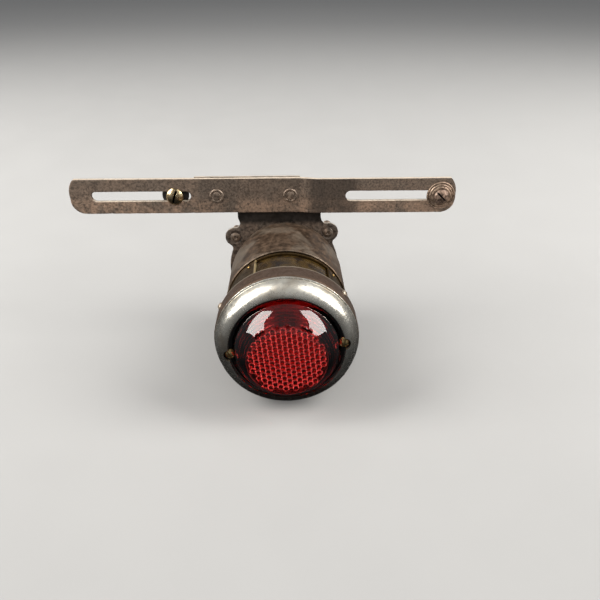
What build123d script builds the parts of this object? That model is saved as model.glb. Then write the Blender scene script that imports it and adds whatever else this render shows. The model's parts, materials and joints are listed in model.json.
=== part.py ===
from build123d import *
import os
from math import cos, radians, sin, sqrt

# Motorcycle tail light hung under a slotted number-plate bar.
#
# Frame, in millimetres: +Z up, +X to the right of someone who faces the lens, +Y away from
# that person, towards the machine. The origin is where the lamp's axis meets the back face
# of the mounting bracket. "Depth" below is the distance in front of that face, so a point
# at depth d has Y = -d, and the lens has the largest depths.

FIT_GAP = 0.05          # radial gap of shanks in their own holes

# Mounting bracket: one flat plate with a flange for the bar, a neck and two ears
BRACKET_T = 2.0
DISC_R = 41.3
DISC_MID_X = -1.5
EAR_MID = (-3.0, 26.7)  # middle of the line between the ears, X and Z
EAR_PCR = 34.8          # half the distance between the ears
EAR_TILT = 2.6          # the right ear stands a little higher
EAR_R = 7.4
FLANGE_LEFT = -64.7
FLANGE_RIGHT = 10.7
FLANGE_TOP = 71.6
FLANGE_BOTTOM = 47.5
NECK_LEFT = -35.0
NECK_RIGHT = 26.0
NECK_FOOT = 40.0
SHOULDER = 30.0
CONCAVE_R = 3.5

# Number-plate bar
BAR_T = 3.2
BAR_H = 25.4
BAR_Z = 58.4
BAR_LEFT = -153.6
BAR_RIGHT = 122.3
BAR_CORNER_R = 10.0
JOGGLE_START = 9.8
JOGGLE_END = 22.0
JOGGLE_STEP = 2.4
JOGGLE_BEND_R = 9.0
SLOT_W = 7.1
SLOT_L = 71.0
SLOT_LEFT_X = -102.9
SLOT_RIGHT_X = 78.8
RIVET_XS = (-49.1, 3.6)
RIVET_R = 2.6
RIVET_HEAD_R = 5.2

# Studs in the ears
STUD_R = 3.0
STUD_COLLAR_R = 3.3     # thicker part inside the plate
STUD_LENGTH = 16.0
STUD_HEAD_R = 3.6
STUD_HEAD_H = 1.8

# Lamp body: a drawn cup that stands on the bracket
BODY_T = 1.2
BODY_R = 41.0
BODY_BACK_R = 38.6
BODY_FRONT = 61.6
BODY_HEM = 0.7
BODY_RIVET_PCR = 24.0
BODY_RIVET_R = 1.5
CABLE_DEPTH = 22.0
CABLE_HOLE_R = 5.2
CABLE_BORE_R = 3.4

# Window drum: the inner drum that carries window, reflector, lens seat and bezel
DRUM_T = 0.9
DRUM_R = 39.7
DRUM_BACK = 50.0
BAND_R = 43.4           # raised band that the bezel slides over
BAND_BACK = 93.8
BAND_FRONT = 99.6
NOSE_R = 40.2
SEAT_DEPTH = 109.5      # front face of the lens seat
SEAT_HOLE_R = 31.0
WINDOW_HALF_ANGLE = 36.0
WINDOW_TURN = 7.0       # the window stands a little to the right of the top
WINDOW_DEPTHS = (64.5, 89.6)
GLAZING_HALF_ANGLE = 42.0
GLAZING_DEPTHS = (61.8, 91.4)
GLAZING_T = 0.8
WINDOW_FRAME_HALF_ANGLE = 47.0
WINDOW_FRAME_DEPTHS = (61.2, 91.8)
WINDOW_FRAME_T = 0.5
WINDOW_RIVET_ANGLE = 44.5
WINDOW_RIVET_R = 0.8
WINDOW_RIVET_DEPTHS = (66.0, 87.6)

# Lens, gaskets and lens screws; the head is turned a little on the body
HEAD_ROLL = 6.0
SEAT_GASKET_T = 1.0
LENS_R = 38.4
LENS_FLANGE_T = 2.7
LENS_BACK = SEAT_DEPTH + SEAT_GASKET_T
LENS_FLANGE_FRONT = LENS_BACK + LENS_FLANGE_T
LENS_APEX = 130.7
LENS_CROWN_R = 20.5     # edge of the nearly flat middle of the glass
LENS_SCREW_PCR = 34.6
LENS_SCREW_R = 1.5
LENS_SCREW_HEAD_R = 3.5
LENS_SCREW_HEAD_H = 2.5
LENS_NOTCH_R = 3.9
GASKET_T = 1.2
GASKET_INNER_R = 34.9
GASKET_OUTER_R = 38.0

# Bezel
SKIRT_R = 44.7
SKIRT_T = 1.0
SKIRT_BACK = 92.5
SKIRT_FRONT = 105.0
RING_R = 44.2
RING_BACK = 105.2
RING_FRONT = 116.0
RING_INNER_R = 35.6
BEZEL_SCREW_DEPTH = 96.2
BEZEL_SCREW_ANGLES = (32.0, 148.0, 270.0)
BEZEL_SCREW_R = 1.2
BEZEL_SCREW_HEAD_R = 2.4

# Reflector, bulb holder and bulb, all on the lamp's axis
REFLECTOR_R = 38.6
REFLECTOR_FLAT = 50.0
REFLECTOR_T = 0.6
SOCKET_BORE_R = 7.8
SOCKET_R = 8.5
SOCKET_BACK = 42.0
SOCKET_FRONT = 66.0
SOCKET_FLANGE_R = 14.0
SOCKET_RIVET_PCR = 11.5
INSULATOR_FRONT = 45.4
BASE_R = 7.5
BASE_BACK = 52.4
BASE_FRONT = 68.5
PIN_DEPTH = 59.0
PIN_R = 1.0
PIN_TIP_R = 9.1
BULB_PUSH = 1.8         # how far the bulb is pushed in to free its pins
BULB_GLASS_R = 13.0
BULB_GLASS_DEPTH = 86.0
PLUNGER_FACE = 51.7
PLUNGER_T = 1.7
STEM_R = 1.2

# Clamp screws in the bar's slots
CLAMP_SHANK_R = 2.4
LEFT_SCREW_X = -78.9
LEFT_SCREW_HEAD_R = 6.1
LEFT_SCREW_HEAD_H = 3.8
LEFT_SCREW_SLOT_TILT = 19.0
LEFT_WASHER_R = 9.5
LEFT_WASHER_T = 1.6
RIGHT_SCREW_X = 111.4
RIGHT_SCREW_HEAD_R = 5.2
RIGHT_SCREW_HEAD_H = 3.4
RIGHT_SCREW_SLOT_TILT = -45.0
CUP_WASHER_R = 10.0
CUP_WASHER_T = 1.0
CUP_WASHER_RISE = 2.4
NUT_ACROSS_FLATS = 8.0
NUT_T = 4.0

LEFT_ARM_FRONT = BRACKET_T + BAR_T
RIGHT_ARM_FRONT = LEFT_ARM_FRONT + JOGGLE_STEP


# ---------------------------------------------------------------- helpers

def turned(face):
    """Turn a face drawn as (radius, depth) about the lamp's axis."""
    return Rot(0, 0, 180) * revolve(face, Axis.Y, 360)


def profile(*points):
    """Face with straight sides."""
    return make_face(Polyline(*points, close=True))


def ring(inner_r, outer_r, back, front):
    """Plain ring or tube about the lamp's axis."""
    return turned(profile((inner_r, back), (outer_r, back), (outer_r, front), (inner_r, front)))


def rod(radius, back, front):
    """Round bar along the lamp's axis from one depth to another."""
    middle = (back + front) / 2
    return Pos(0, -middle, 0) * Rot(90, 0, 0) * Cylinder(radius, front - back)


def plate(sketch, back, front):
    """Flat piece with the outline of an X-Z sketch, between two depths."""
    return Pos(0, -back, 0) * Rot(90, 0, 0) * extrude(sketch, front - back)


def polar(radius, angle):
    """X and Z of a point at an angle from +X, anticlockwise as seen from the lens side."""
    return radius * cos(radians(angle)), radius * sin(radians(angle))


def on_axis_parallel(solid, x, z):
    """Move a solid made about the lamp's axis to a parallel axis."""
    return Pos(x, 0, z) * solid


def sheet(points, thickness, bend_r):
    """Thin wall in (radius, depth): the points are its outer face, thickened to its left."""
    path = FilletPolyline(*points, radius=bend_r)
    return make_face(offset(path, amount=thickness, side=Side.LEFT, closed=True))


def sector(half_angle, reach, back, front):
    """Wedge about the window's middle, used to cut the window or keep a curved strip."""
    tip_x = reach * sin(radians(half_angle))
    tip_z = reach * cos(radians(half_angle))
    outline = profile((0, 0), (tip_x, tip_z), (tip_x, reach), (-tip_x, reach), (-tip_x, tip_z))
    return Rot(0, WINDOW_TURN, 0) * plate(outline, back, front)


def dome_head(radius, height, base, edge=0.6):
    """Round screw head with a short straight edge, its flat side at depth base."""
    rim = (radius, base + edge)
    crown = (0, base + height)
    rise = height - edge
    ball_r = (radius ** 2 + rise ** 2) / (2 * rise)
    halfway = (radius / 2, base + height - ball_r + sqrt(ball_r ** 2 - radius ** 2 / 4))
    lines = Polyline(crown, (0, base), (radius, base), rim) + ThreePointArc(rim, halfway, crown)
    return turned(make_face(lines))


def driver_slot(length, width, depth, tilt, head_top):
    """Block that cuts a driver slot, turned by tilt degrees clockwise from upright."""
    block = Box(width, 2 * depth, length)
    return Pos(0, -head_top, 0) * Rot(0, tilt, 0) * block


def hex_prism(across_flats, back, front, bore_r):
    """Nut about the lamp's axis."""
    outline = RegularPolygon(across_flats / 2, 6, major_radius=False) - Circle(bore_r)
    return plate(outline, back, front)


def radial(solid, angle):
    """Turn a solid made along +Z so that it stands along the given direction round the lamp."""
    return Rot(0, 90 - angle, 0) * solid


# ---------------------------------------------------------------- bar and bracket

def ear_places():
    """X and Z of the two ears, left and right."""
    ears = []
    for angle in (180, 0):
        x, z = polar(EAR_PCR, angle + EAR_TILT)
        ears.append((EAR_MID[0] + x, EAR_MID[1] + z))
    return ears


def bracket_outline():
    """X-Z outline: bar flange, neck, two ears and the disc behind the lamp."""
    flange_and_neck = profile(
        (FLANGE_LEFT, FLANGE_TOP),
        (FLANGE_RIGHT, FLANGE_TOP),
        (FLANGE_RIGHT, BAR_Z),
        (NECK_RIGHT, FLANGE_BOTTOM + 1),
        (NECK_RIGHT, NECK_FOOT),
        (SHOULDER, EAR_MID[1]),
        (SHOULDER, 0),
        (-SHOULDER, 0),
        (-SHOULDER, EAR_MID[1]),
        (NECK_LEFT, NECK_FOOT),
        (NECK_LEFT, FLANGE_BOTTOM),
        (FLANGE_LEFT, FLANGE_BOTTOM),
    )
    ears = [Pos(x, z) * Circle(EAR_R) for x, z in ear_places()]
    outline = Pos(DISC_MID_X, 0) * Circle(DISC_R) + flange_and_neck + ears
    grown = offset(outline, amount=CONCAVE_R)
    return offset(grown, amount=-CONCAVE_R)


def mounting_bracket():
    """Flat plate with countersinks at its back, so that every rivet ends flush."""
    body = plate(bracket_outline(), 0, BRACKET_T)
    for x in RIVET_XS:
        hole = rod(RIVET_R + FIT_GAP, -1, BRACKET_T + 1)
        cone = rivet_cone(RIVET_R, 1.6, FIT_GAP)
        body -= on_axis_parallel(hole + cone, x, BAR_Z)
    for x, z in ear_places():
        body -= on_axis_parallel(rod(STUD_COLLAR_R + FIT_GAP, -1, BRACKET_T + 1), x, z)
    for x, z in body_rivet_places():
        hole = rod(BODY_RIVET_R + FIT_GAP, -1, BRACKET_T + 1)
        cone = rivet_cone(BODY_RIVET_R, 1.0, FIT_GAP)
        body -= on_axis_parallel(hole + cone, x, z)
    return body


def rivet_cone(shank_r, depth, gap=0.0):
    """Countersunk end of a rivet, flush with the bracket's back face."""
    return turned(profile((0, 0), (shank_r + depth + gap, 0), (shank_r + gap, depth), (0, depth)))


def bar_outline():
    """X-Z outline of the bar: clipped top corners and large bottom corners."""
    top = BAR_Z + BAR_H / 2
    bottom = BAR_Z - BAR_H / 2
    clip_x = 4.2
    clip_z = 11.0
    r = BAR_CORNER_R
    low_left = (BAR_LEFT + r, bottom)
    low_right = (BAR_RIGHT - r, bottom)
    lines = Polyline((BAR_LEFT, bottom + r), (BAR_LEFT, top - clip_z))
    lines += ThreePointArc(
        (BAR_LEFT, top - clip_z),
        (BAR_LEFT + clip_x * 0.25, top - clip_z * 0.45),
        (BAR_LEFT + clip_x, top),
    )
    lines += Line((BAR_LEFT + clip_x, top), (BAR_RIGHT - clip_x, top))
    lines += ThreePointArc(
        (BAR_RIGHT - clip_x, top),
        (BAR_RIGHT - clip_x * 0.25, top - clip_z * 0.45),
        (BAR_RIGHT, top - clip_z),
    )
    lines += Line((BAR_RIGHT, top - clip_z), (BAR_RIGHT, bottom + r))
    lines += RadiusArc((BAR_RIGHT, bottom + r), low_right, r)
    lines += Line(low_right, low_left)
    lines += RadiusArc(low_left, (BAR_LEFT, bottom + r), r)
    return make_face(lines)


def number_plate_bar():
    """Steel strip with a shallow forward joggle and a long slot in each arm."""
    reach = 20
    front = FilletPolyline(
        (BAR_LEFT - reach, -LEFT_ARM_FRONT),
        (JOGGLE_START, -LEFT_ARM_FRONT),
        (JOGGLE_END, -RIGHT_ARM_FRONT),
        (BAR_RIGHT + reach, -RIGHT_ARM_FRONT),
        radius=JOGGLE_BEND_R,
    )
    strip = make_face(offset(front, amount=BAR_T, side=Side.LEFT, closed=True))
    bent = Pos(0, 0, BAR_Z - BAR_H) * extrude(strip, 2 * BAR_H)
    body = bent & plate(bar_outline(), -reach, 2 * reach)
    for x in (SLOT_LEFT_X, SLOT_RIGHT_X):
        body -= plate(Pos(x, BAR_Z) * SlotOverall(SLOT_L, SLOT_W), -reach, 2 * reach)
    for x in RIVET_XS:
        body -= on_axis_parallel(rod(RIVET_R + FIT_GAP, 0, reach), x, BAR_Z)
    return body


def bar_rivets():
    """Two rivets with a pressed ring in the head, countersunk at the back."""
    base = LEFT_ARM_FRONT
    flare = 1.6
    rivet = turned(profile(
        (0, 0),
        (RIVET_R + flare, 0),
        (RIVET_R, flare),
        (RIVET_R, base),
        (RIVET_HEAD_R, base),
        (RIVET_HEAD_R - 0.5, base + 0.6),
        (4.1, base + 0.8),
        (3.2, base + 0.35),
        (2.4, base + 0.8),
        (0, base + 0.9),
    ))
    return [on_axis_parallel(rivet, x, BAR_Z) for x in RIVET_XS]


def ear_studs():
    """Two threaded studs with dimpled heads that stand out of the bracket's back."""
    dimple_r = 2.4
    head = dome_head(STUD_HEAD_R, STUD_HEAD_H, BRACKET_T)
    dimple = Pos(0, -(BRACKET_T + STUD_HEAD_H + 1.6), 0) * Sphere(dimple_r)
    tip_chamfer = 0.8
    shank = turned(profile(
        (0, -STUD_LENGTH),
        (STUD_R - tip_chamfer, -STUD_LENGTH),
        (STUD_R, -STUD_LENGTH + tip_chamfer),
        (STUD_R, 0),
        (STUD_COLLAR_R, 0),
        (STUD_COLLAR_R, BRACKET_T),
        (0, BRACKET_T),
    ))
    stud = (shank + head) - dimple
    return [on_axis_parallel(stud, x, z) for x, z in ear_places()]


# ---------------------------------------------------------------- body

def body_rivet_places():
    """X and Z of the three rivets that hold the body to the bracket."""
    return [polar(BODY_RIVET_PCR, angle) for angle in (90, 210, 330)]


def lamp_body():
    """Drawn cup, a little narrower at its back, with an outward hem at its front edge."""
    outer = [
        (0, BRACKET_T),
        (BODY_BACK_R - 3.5, BRACKET_T),
        (BODY_BACK_R, BRACKET_T + 5),
        (BODY_R, BRACKET_T + 18),
        (BODY_R, BODY_FRONT - 2.2),
        (BODY_R + BODY_HEM, BODY_FRONT - 1.2),
        (BODY_R + BODY_HEM, BODY_FRONT),
    ]
    body = turned(sheet(outer, BODY_T, 0.9))
    for x, z in body_rivet_places():
        body -= on_axis_parallel(rod(BODY_RIVET_R + FIT_GAP, 0, BODY_FRONT), x, z)
    cable_hole = Pos(0, -CABLE_DEPTH, -BODY_R) * Cylinder(CABLE_HOLE_R, 10)
    return body - cable_hole


def body_rivets():
    """Three rivets with round heads inside the cup and flush tails at the back."""
    base = BRACKET_T + BODY_T
    head_r = 2 * BODY_RIVET_R
    rivet = turned(profile(
        (0, 0),
        (BODY_RIVET_R + 1.0, 0),
        (BODY_RIVET_R, 1.0),
        (BODY_RIVET_R, base),
        (head_r, base),
        (head_r - 0.2, base + 0.6),
        (head_r - 1.0, base + 1.2),
        (0, base + 1.4),
    ))
    return [on_axis_parallel(rivet, x, z) for x, z in body_rivet_places()]


def cable_grommet():
    """Rubber grommet in the body's underside; its bore is where the cable goes in."""
    outer_face = -BODY_R - 1.9
    wall_outside = -BODY_R - 0.1
    wall_inside = -BODY_R + BODY_T + 0.75
    inner_face = wall_inside + 1.5
    neck_r = CABLE_HOLE_R - 0.1
    section = make_face(Polyline(
        (CABLE_BORE_R, outer_face),
        (6.6, outer_face),
        (7.5, outer_face + 0.9),
        (7.5, wall_outside),
        (neck_r, wall_outside),
        (neck_r, wall_inside),
        (6.6, wall_inside),
        (6.0, inner_face),
        (CABLE_BORE_R, inner_face),
        close=True,
    ))
    return Pos(0, -CABLE_DEPTH, 0) * revolve(Rot(90, 0, 0) * section, Axis.Z, 360)


# ---------------------------------------------------------------- drum and window

def window_drum():
    """Brass inner drum: sleeve, raised band for the bezel, nose and inward lens seat."""
    outer = [
        (DRUM_R, DRUM_BACK),
        (DRUM_R, BAND_BACK - 1.4),
        (BAND_R, BAND_BACK),
        (BAND_R, BAND_FRONT),
        (NOSE_R, BAND_FRONT + 1.2),
        (NOSE_R, SEAT_DEPTH),
        (SEAT_HOLE_R, SEAT_DEPTH),
    ]
    drum = turned(sheet(outer, DRUM_T, 1.15))
    drum -= sector(WINDOW_HALF_ANGLE, 2 * DRUM_R, *WINDOW_DEPTHS)
    for x, z in lens_screw_places():
        hole = rod(LENS_SCREW_R + FIT_GAP, SEAT_DEPTH - 3, SEAT_DEPTH + 3)
        drum -= on_axis_parallel(hole, x, z)
    for angle in BEZEL_SCREW_ANGLES:
        hole = Pos(0, -BEZEL_SCREW_DEPTH, BAND_R) * Cylinder(BEZEL_SCREW_R + FIT_GAP, 6)
        drum -= radial(hole, angle + HEAD_ROLL)
    for angle, depth in window_rivet_places():
        drum -= radial(Pos(0, -depth, DRUM_R) * Cylinder(WINDOW_RIVET_R + FIT_GAP, 4), angle)
    return drum


def curved_strip(outer_r, thickness, half_angle, depths):
    """Strip bent to the drum, centred on the window."""
    band = ring(outer_r - thickness, outer_r, *depths)
    return band & sector(half_angle, 2 * DRUM_R, *depths)


def plate_window():
    """Amber sheet bent under the drum's opening."""
    outer_r = DRUM_R - DRUM_T - 0.2
    return curved_strip(outer_r, GLAZING_T, GLAZING_HALF_ANGLE, GLAZING_DEPTHS)


def window_frame():
    """Brass frame that holds the window up against the drum."""
    outer_r = DRUM_R - DRUM_T - 0.2 - GLAZING_T - 0.1
    strip = curved_strip(outer_r, WINDOW_FRAME_T, WINDOW_FRAME_HALF_ANGLE, WINDOW_FRAME_DEPTHS)
    margin = 2.5
    opening = sector(
        WINDOW_HALF_ANGLE - 3, 2 * DRUM_R, WINDOW_DEPTHS[0] + margin, WINDOW_DEPTHS[1] - margin
    )
    strip -= opening
    for angle, depth in window_rivet_places():
        strip -= radial(Pos(0, -depth, outer_r) * Cylinder(WINDOW_RIVET_R + FIT_GAP, 4), angle)
    return strip


def window_rivet_places():
    """Angle round the lamp and depth of the four window rivets."""
    middle = 90 - WINDOW_TURN
    angles = (middle - WINDOW_RIVET_ANGLE, middle + WINDOW_RIVET_ANGLE)
    return [(angle, depth) for angle in angles for depth in WINDOW_RIVET_DEPTHS]


def window_rivets():
    """Four small rivets through drum and frame."""
    tail_r = DRUM_R - DRUM_T - 0.2 - GLAZING_T - 0.1 - WINDOW_FRAME_T
    head_h = 0.6
    tail_h = 0.5
    sag = 0.06              # the tail stands clear of the curved strip
    shank = Pos(0, 0, (tail_r + DRUM_R) / 2) * Cylinder(WINDOW_RIVET_R, DRUM_R - tail_r + head_h)
    head = Pos(0, 0, DRUM_R + head_h / 2) * Cone(1.6, 1.0, head_h)
    tail = Pos(0, 0, tail_r - sag - tail_h / 2) * Cylinder(1.3, tail_h)
    rivet = shank + head + tail
    return [radial(Pos(0, -depth, 0) * rivet, angle) for angle, depth in window_rivet_places()]


# ---------------------------------------------------------------- lens and bezel

def lens_screw_places():
    """X and Z of the two lens screws."""
    return [polar(LENS_SCREW_PCR, angle + HEAD_ROLL) for angle in (0, 180)]


def lens_seat_gasket():
    """Cork ring between the drum's seat and the lens."""
    gasket = ring(SEAT_HOLE_R + 0.5, LENS_R - 0.2, SEAT_DEPTH, LENS_BACK)
    for x, z in lens_screw_places():
        gasket -= on_axis_parallel(rod(LENS_SCREW_R + 0.3, SEAT_DEPTH - 1, LENS_BACK + 1), x, z)
    return gasket


def lens():
    """Glass with a nearly flat front and a steep shoulder, scalloped round the two screws."""
    flange_front = LENS_FLANGE_FRONT
    dome_foot = (33.2, flange_front)
    crown_edge = (LENS_CROWN_R, LENS_APEX - 0.4)
    shoulder = Spline(
        dome_foot,
        (32.7, LENS_APEX - 14.7),
        (31.2, LENS_APEX - 11.4),
        (28.9, LENS_APEX - 7.8),
        (26.2, LENS_APEX - 4.5),
        (23.6, LENS_APEX - 1.9),
        crown_edge,
        tangents=((-0.05, 1), (-1, 0.05)),
    )
    apex = (0, LENS_APEX)
    inner_apex = (0, LENS_APEX - 2.6)
    inner_edge = (LENS_CROWN_R - 1.0, LENS_APEX - 3.0)
    inner_foot = (29.8, LENS_BACK)
    inner_shoulder = Spline(
        inner_edge,
        (23.0, LENS_APEX - 4.9),
        (25.9, LENS_APEX - 8.5),
        (28.2, LENS_APEX - 12.7),
        (29.6, LENS_APEX - 17.2),
        inner_foot,
        tangents=((1, -0.05), (0.05, -1)),
    )
    rim = Polyline(inner_foot, (LENS_R, LENS_BACK), (LENS_R, flange_front), dome_foot)
    crown = Polyline(crown_edge, apex, inner_apex, inner_edge)
    glass = turned(make_face(rim + shoulder + crown + inner_shoulder))
    for x, z in lens_screw_places():
        hole = rod(LENS_SCREW_R + 0.5, LENS_BACK - 1, flange_front + 1)
        scallop = rod(LENS_NOTCH_R, flange_front, LENS_APEX)
        glass -= on_axis_parallel(hole + scallop, x, z)
    return glass


def lens_gasket():
    """Black rubber ring between the lens flange and the bezel's lip."""
    front = LENS_FLANGE_FRONT + GASKET_T
    gasket = ring(GASKET_INNER_R, GASKET_OUTER_R, LENS_FLANGE_FRONT, front)
    for x, z in lens_screw_places():
        gasket -= on_axis_parallel(rod(LENS_NOTCH_R + 0.2, LENS_BACK, front + 1), x, z)
    return gasket


def lens_screws():
    """Two round-head screws through the lens flange into nuts behind the seat."""
    base = LENS_FLANGE_FRONT
    top = base + LENS_SCREW_HEAD_H
    screws = []
    for (x, z), tilt in zip(lens_screw_places(), (12, -35)):
        screw = rod(LENS_SCREW_R, SEAT_DEPTH - 6, base)
        screw += dome_head(LENS_SCREW_HEAD_R, LENS_SCREW_HEAD_H, base)
        screw -= driver_slot(3 * LENS_SCREW_HEAD_R, 0.9, 1.2, tilt, top)
        screws.append(on_axis_parallel(screw, x, z))
    return screws


def lens_screw_nuts():
    """Two small nuts fixed behind the lens seat."""
    front = SEAT_DEPTH - DRUM_T
    nut = hex_prism(5.5, front - 3, front, LENS_SCREW_R + FIT_GAP)
    return [on_axis_parallel(nut, x, z) for x, z in lens_screw_places()]


def bezel_skirt():
    """Plain band that slides over the drum's raised band."""
    section = profile(
        (SKIRT_R - SKIRT_T, SKIRT_BACK),
        (SKIRT_R, SKIRT_BACK),
        (SKIRT_R, SKIRT_FRONT - 0.6),
        (SKIRT_R - 0.5, SKIRT_FRONT),
        (SKIRT_R - SKIRT_T, SKIRT_FRONT),
    )
    skirt = turned(section)
    for angle in BEZEL_SCREW_ANGLES:
        hole = Pos(0, -BEZEL_SCREW_DEPTH, SKIRT_R) * Cylinder(BEZEL_SCREW_R + FIT_GAP, 4)
        skirt -= radial(hole, angle + HEAD_ROLL)
    return skirt


def bezel_ring():
    """Quarter-round ring with a sleeve inside the skirt and a lip that presses on the gasket."""
    sleeve_inner_r = SKIRT_R - 2.2
    sleeve_outer_r = SKIRT_R - 1.1
    lip_back = LENS_FLANGE_FRONT + GASKET_T
    lip_outer_r = RING_INNER_R + 1.0
    outside = EllipticalCenterArc(
        (RING_INNER_R, RING_BACK), RING_R - RING_INNER_R, RING_FRONT - RING_BACK, arc_size=90
    )
    inside = EllipticalCenterArc(
        (lip_outer_r, RING_BACK), sleeve_inner_r - lip_outer_r, RING_FRONT - RING_BACK - 1.0
    )
    lip = Polyline(
        (RING_INNER_R, RING_FRONT),
        (RING_INNER_R, lip_back),
        (lip_outer_r, lip_back),
        (lip_outer_r, RING_FRONT - 1.0),
    )
    sleeve = Polyline(
        (sleeve_inner_r, RING_BACK),
        (sleeve_inner_r, BAND_FRONT + 1.2),
        (sleeve_outer_r, BAND_FRONT + 1.2),
        (sleeve_outer_r, RING_BACK),
        (RING_R, RING_BACK),
    )
    bezel = turned(make_face(outside + lip + inside + sleeve))
    for x, z in lens_screw_places():
        bezel -= on_axis_parallel(rod(LENS_NOTCH_R, LENS_BACK, RING_FRONT + 1), x, z)
    return bezel


def bezel_screws():
    """Three small round-head screws through the skirt into the drum's band."""
    shank_end = BAND_R - 3
    shank = Pos(0, 0, (shank_end + SKIRT_R) / 2) * Cylinder(BEZEL_SCREW_R, SKIRT_R - shank_end)
    head_h = 1.7
    head = dome_head(BEZEL_SCREW_HEAD_R, head_h, 0, 0.4)
    head -= driver_slot(3 * BEZEL_SCREW_HEAD_R, 0.7, 0.8, 0, head_h)
    screw = shank + Pos(0, 0, SKIRT_R) * Rot(-90, 0, 0) * head
    places = [angle + HEAD_ROLL for angle in BEZEL_SCREW_ANGLES]
    return [radial(Pos(0, -BEZEL_SCREW_DEPTH, 0) * screw, angle) for angle in places]


# ---------------------------------------------------------------- reflector and bulb

def reflector():
    """Shallow polished dish with a flat centre for the bulb holder."""
    flat_r = 14.5
    rim_back = 57.2
    rim_front = 59.6
    front = REFLECTOR_FLAT + REFLECTOR_T
    middle = (27.5, front + 1.9)
    inside_r = REFLECTOR_R - REFLECTOR_T
    dish_inside = ThreePointArc((flat_r, front), middle, (inside_r, rim_back + 0.3))
    dish_outside = ThreePointArc(
        (REFLECTOR_R, rim_back), (middle[0] + 0.15, middle[1] - REFLECTOR_T), (flat_r, REFLECTOR_FLAT)
    )
    hub_r = SOCKET_R + 0.3
    section = Polyline((hub_r, REFLECTOR_FLAT), (hub_r, front), (flat_r, front)) + dish_inside
    section += Polyline(
        (inside_r, rim_back + 0.3), (inside_r, rim_front), (REFLECTOR_R, rim_front), (REFLECTOR_R, rim_back)
    )
    section += dish_outside + Line((flat_r, REFLECTOR_FLAT), (hub_r, REFLECTOR_FLAT))
    dish = turned(make_face(section))
    for side in (-1, 1):
        hole = rod(1.0 + FIT_GAP, REFLECTOR_FLAT - 1, front + 1)
        dish -= on_axis_parallel(hole, side * SOCKET_RIVET_PCR, 0)
    return dish


def bulb_socket():
    """Bayonet shell with a riveted flange and two hooked pin slots."""
    flange_back = REFLECTOR_FLAT - 0.8
    crimp_r = SOCKET_BORE_R - 1.0
    shell = turned(profile(
        (crimp_r, SOCKET_BACK),
        (SOCKET_R, SOCKET_BACK),
        (SOCKET_R, flange_back),
        (SOCKET_FLANGE_R, flange_back),
        (SOCKET_FLANGE_R, REFLECTOR_FLAT),
        (SOCKET_R, REFLECTOR_FLAT),
        (SOCKET_R, SOCKET_FRONT),
        (SOCKET_BORE_R, SOCKET_FRONT),
        (SOCKET_BORE_R, SOCKET_BACK + 0.8),
        (crimp_r, SOCKET_BACK + 0.8),
    ))
    for side in (-1, 1):
        hole = rod(1.0 + FIT_GAP, flange_back - 1, REFLECTOR_FLAT + 1)
        shell -= on_axis_parallel(hole, side * SOCKET_RIVET_PCR, 0)
        shell -= Rot(0, 0 if side > 0 else 180, 0) * pin_slot()
    return shell


def pin_slot():
    """Cutter for one bayonet slot: a way in, a turn, and the seat where the pin rests."""
    half_w = PIN_R + 0.2
    reach = SOCKET_R + 2
    deepest = PIN_DEPTH - BULB_PUSH - half_w
    turn_angle = 28.0
    seat = Pos(reach / 2, -(deepest + PIN_DEPTH + half_w) / 2, 0)
    seat *= Box(reach, PIN_DEPTH + half_w - deepest, 2 * half_w)
    way_in = Pos(reach / 2, -(deepest + SOCKET_FRONT + 1) / 2, 0)
    way_in *= Box(reach, SOCKET_FRONT + 1 - deepest, 2 * half_w)
    way_in = Rot(0, turn_angle, 0) * way_in
    turn_x, turn_z = polar(reach, -turn_angle)
    turn = plate(profile((0, 0), (turn_x, turn_z), (reach, 0)), deepest, deepest + 2 * half_w)
    return seat + way_in + turn


def socket_rivets():
    """Two rivets that hold the bulb holder to the reflector."""
    back = REFLECTOR_FLAT - 0.8
    front = REFLECTOR_FLAT + REFLECTOR_T
    rivet = rod(1.0, back - 0.6, front) + rod(1.8, back - 0.6, back)
    rivet += dome_head(1.8, 0.8, front, 0.2)
    return [on_axis_parallel(rivet, side * SOCKET_RIVET_PCR, 0) for side in (-1, 1)]


def contact_insulator():
    """Fibre disc held in the socket's back; the contact stem slides in its hole."""
    return ring(STEM_R + 0.1, SOCKET_BORE_R - FIT_GAP, SOCKET_BACK + 0.8, INSULATOR_FRONT)


def contact_spring():
    """Open coil between the fibre disc and the contact."""
    wire_r = 0.32
    coil_r = 4.8
    front = PLUNGER_FACE - PLUNGER_T - wire_r - 0.02
    back = INSULATOR_FRONT + wire_r + 0.02
    turns = 2.5
    path = Helix(pitch=(front - back) / turns, height=front - back, radius=coil_r)
    wire = sweep(Plane(path @ 0, z_dir=path % 0) * Circle(wire_r), path=path)
    return Pos(0, -back, 0) * Rot(90, 0, 0) * wire


def contact_plunger():
    """Spring-loaded contact: a disc with a stem through the fibre disc."""
    disc_back = PLUNGER_FACE - PLUNGER_T
    return turned(profile(
        (0, SOCKET_BACK - 4.4),
        (STEM_R, SOCKET_BACK - 4.4),
        (STEM_R, disc_back),
        (6.9, disc_back),
        (6.9, PLUNGER_FACE - 0.7),
        (3.0, PLUNGER_FACE),
        (0, PLUNGER_FACE),
    ))


def terminal_nut():
    """Nut on the end of the contact stem, where the feed wire is clamped."""
    return hex_prism(5.0, SOCKET_BACK - 3.2, SOCKET_BACK - 0.8, STEM_R + FIT_GAP)


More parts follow.
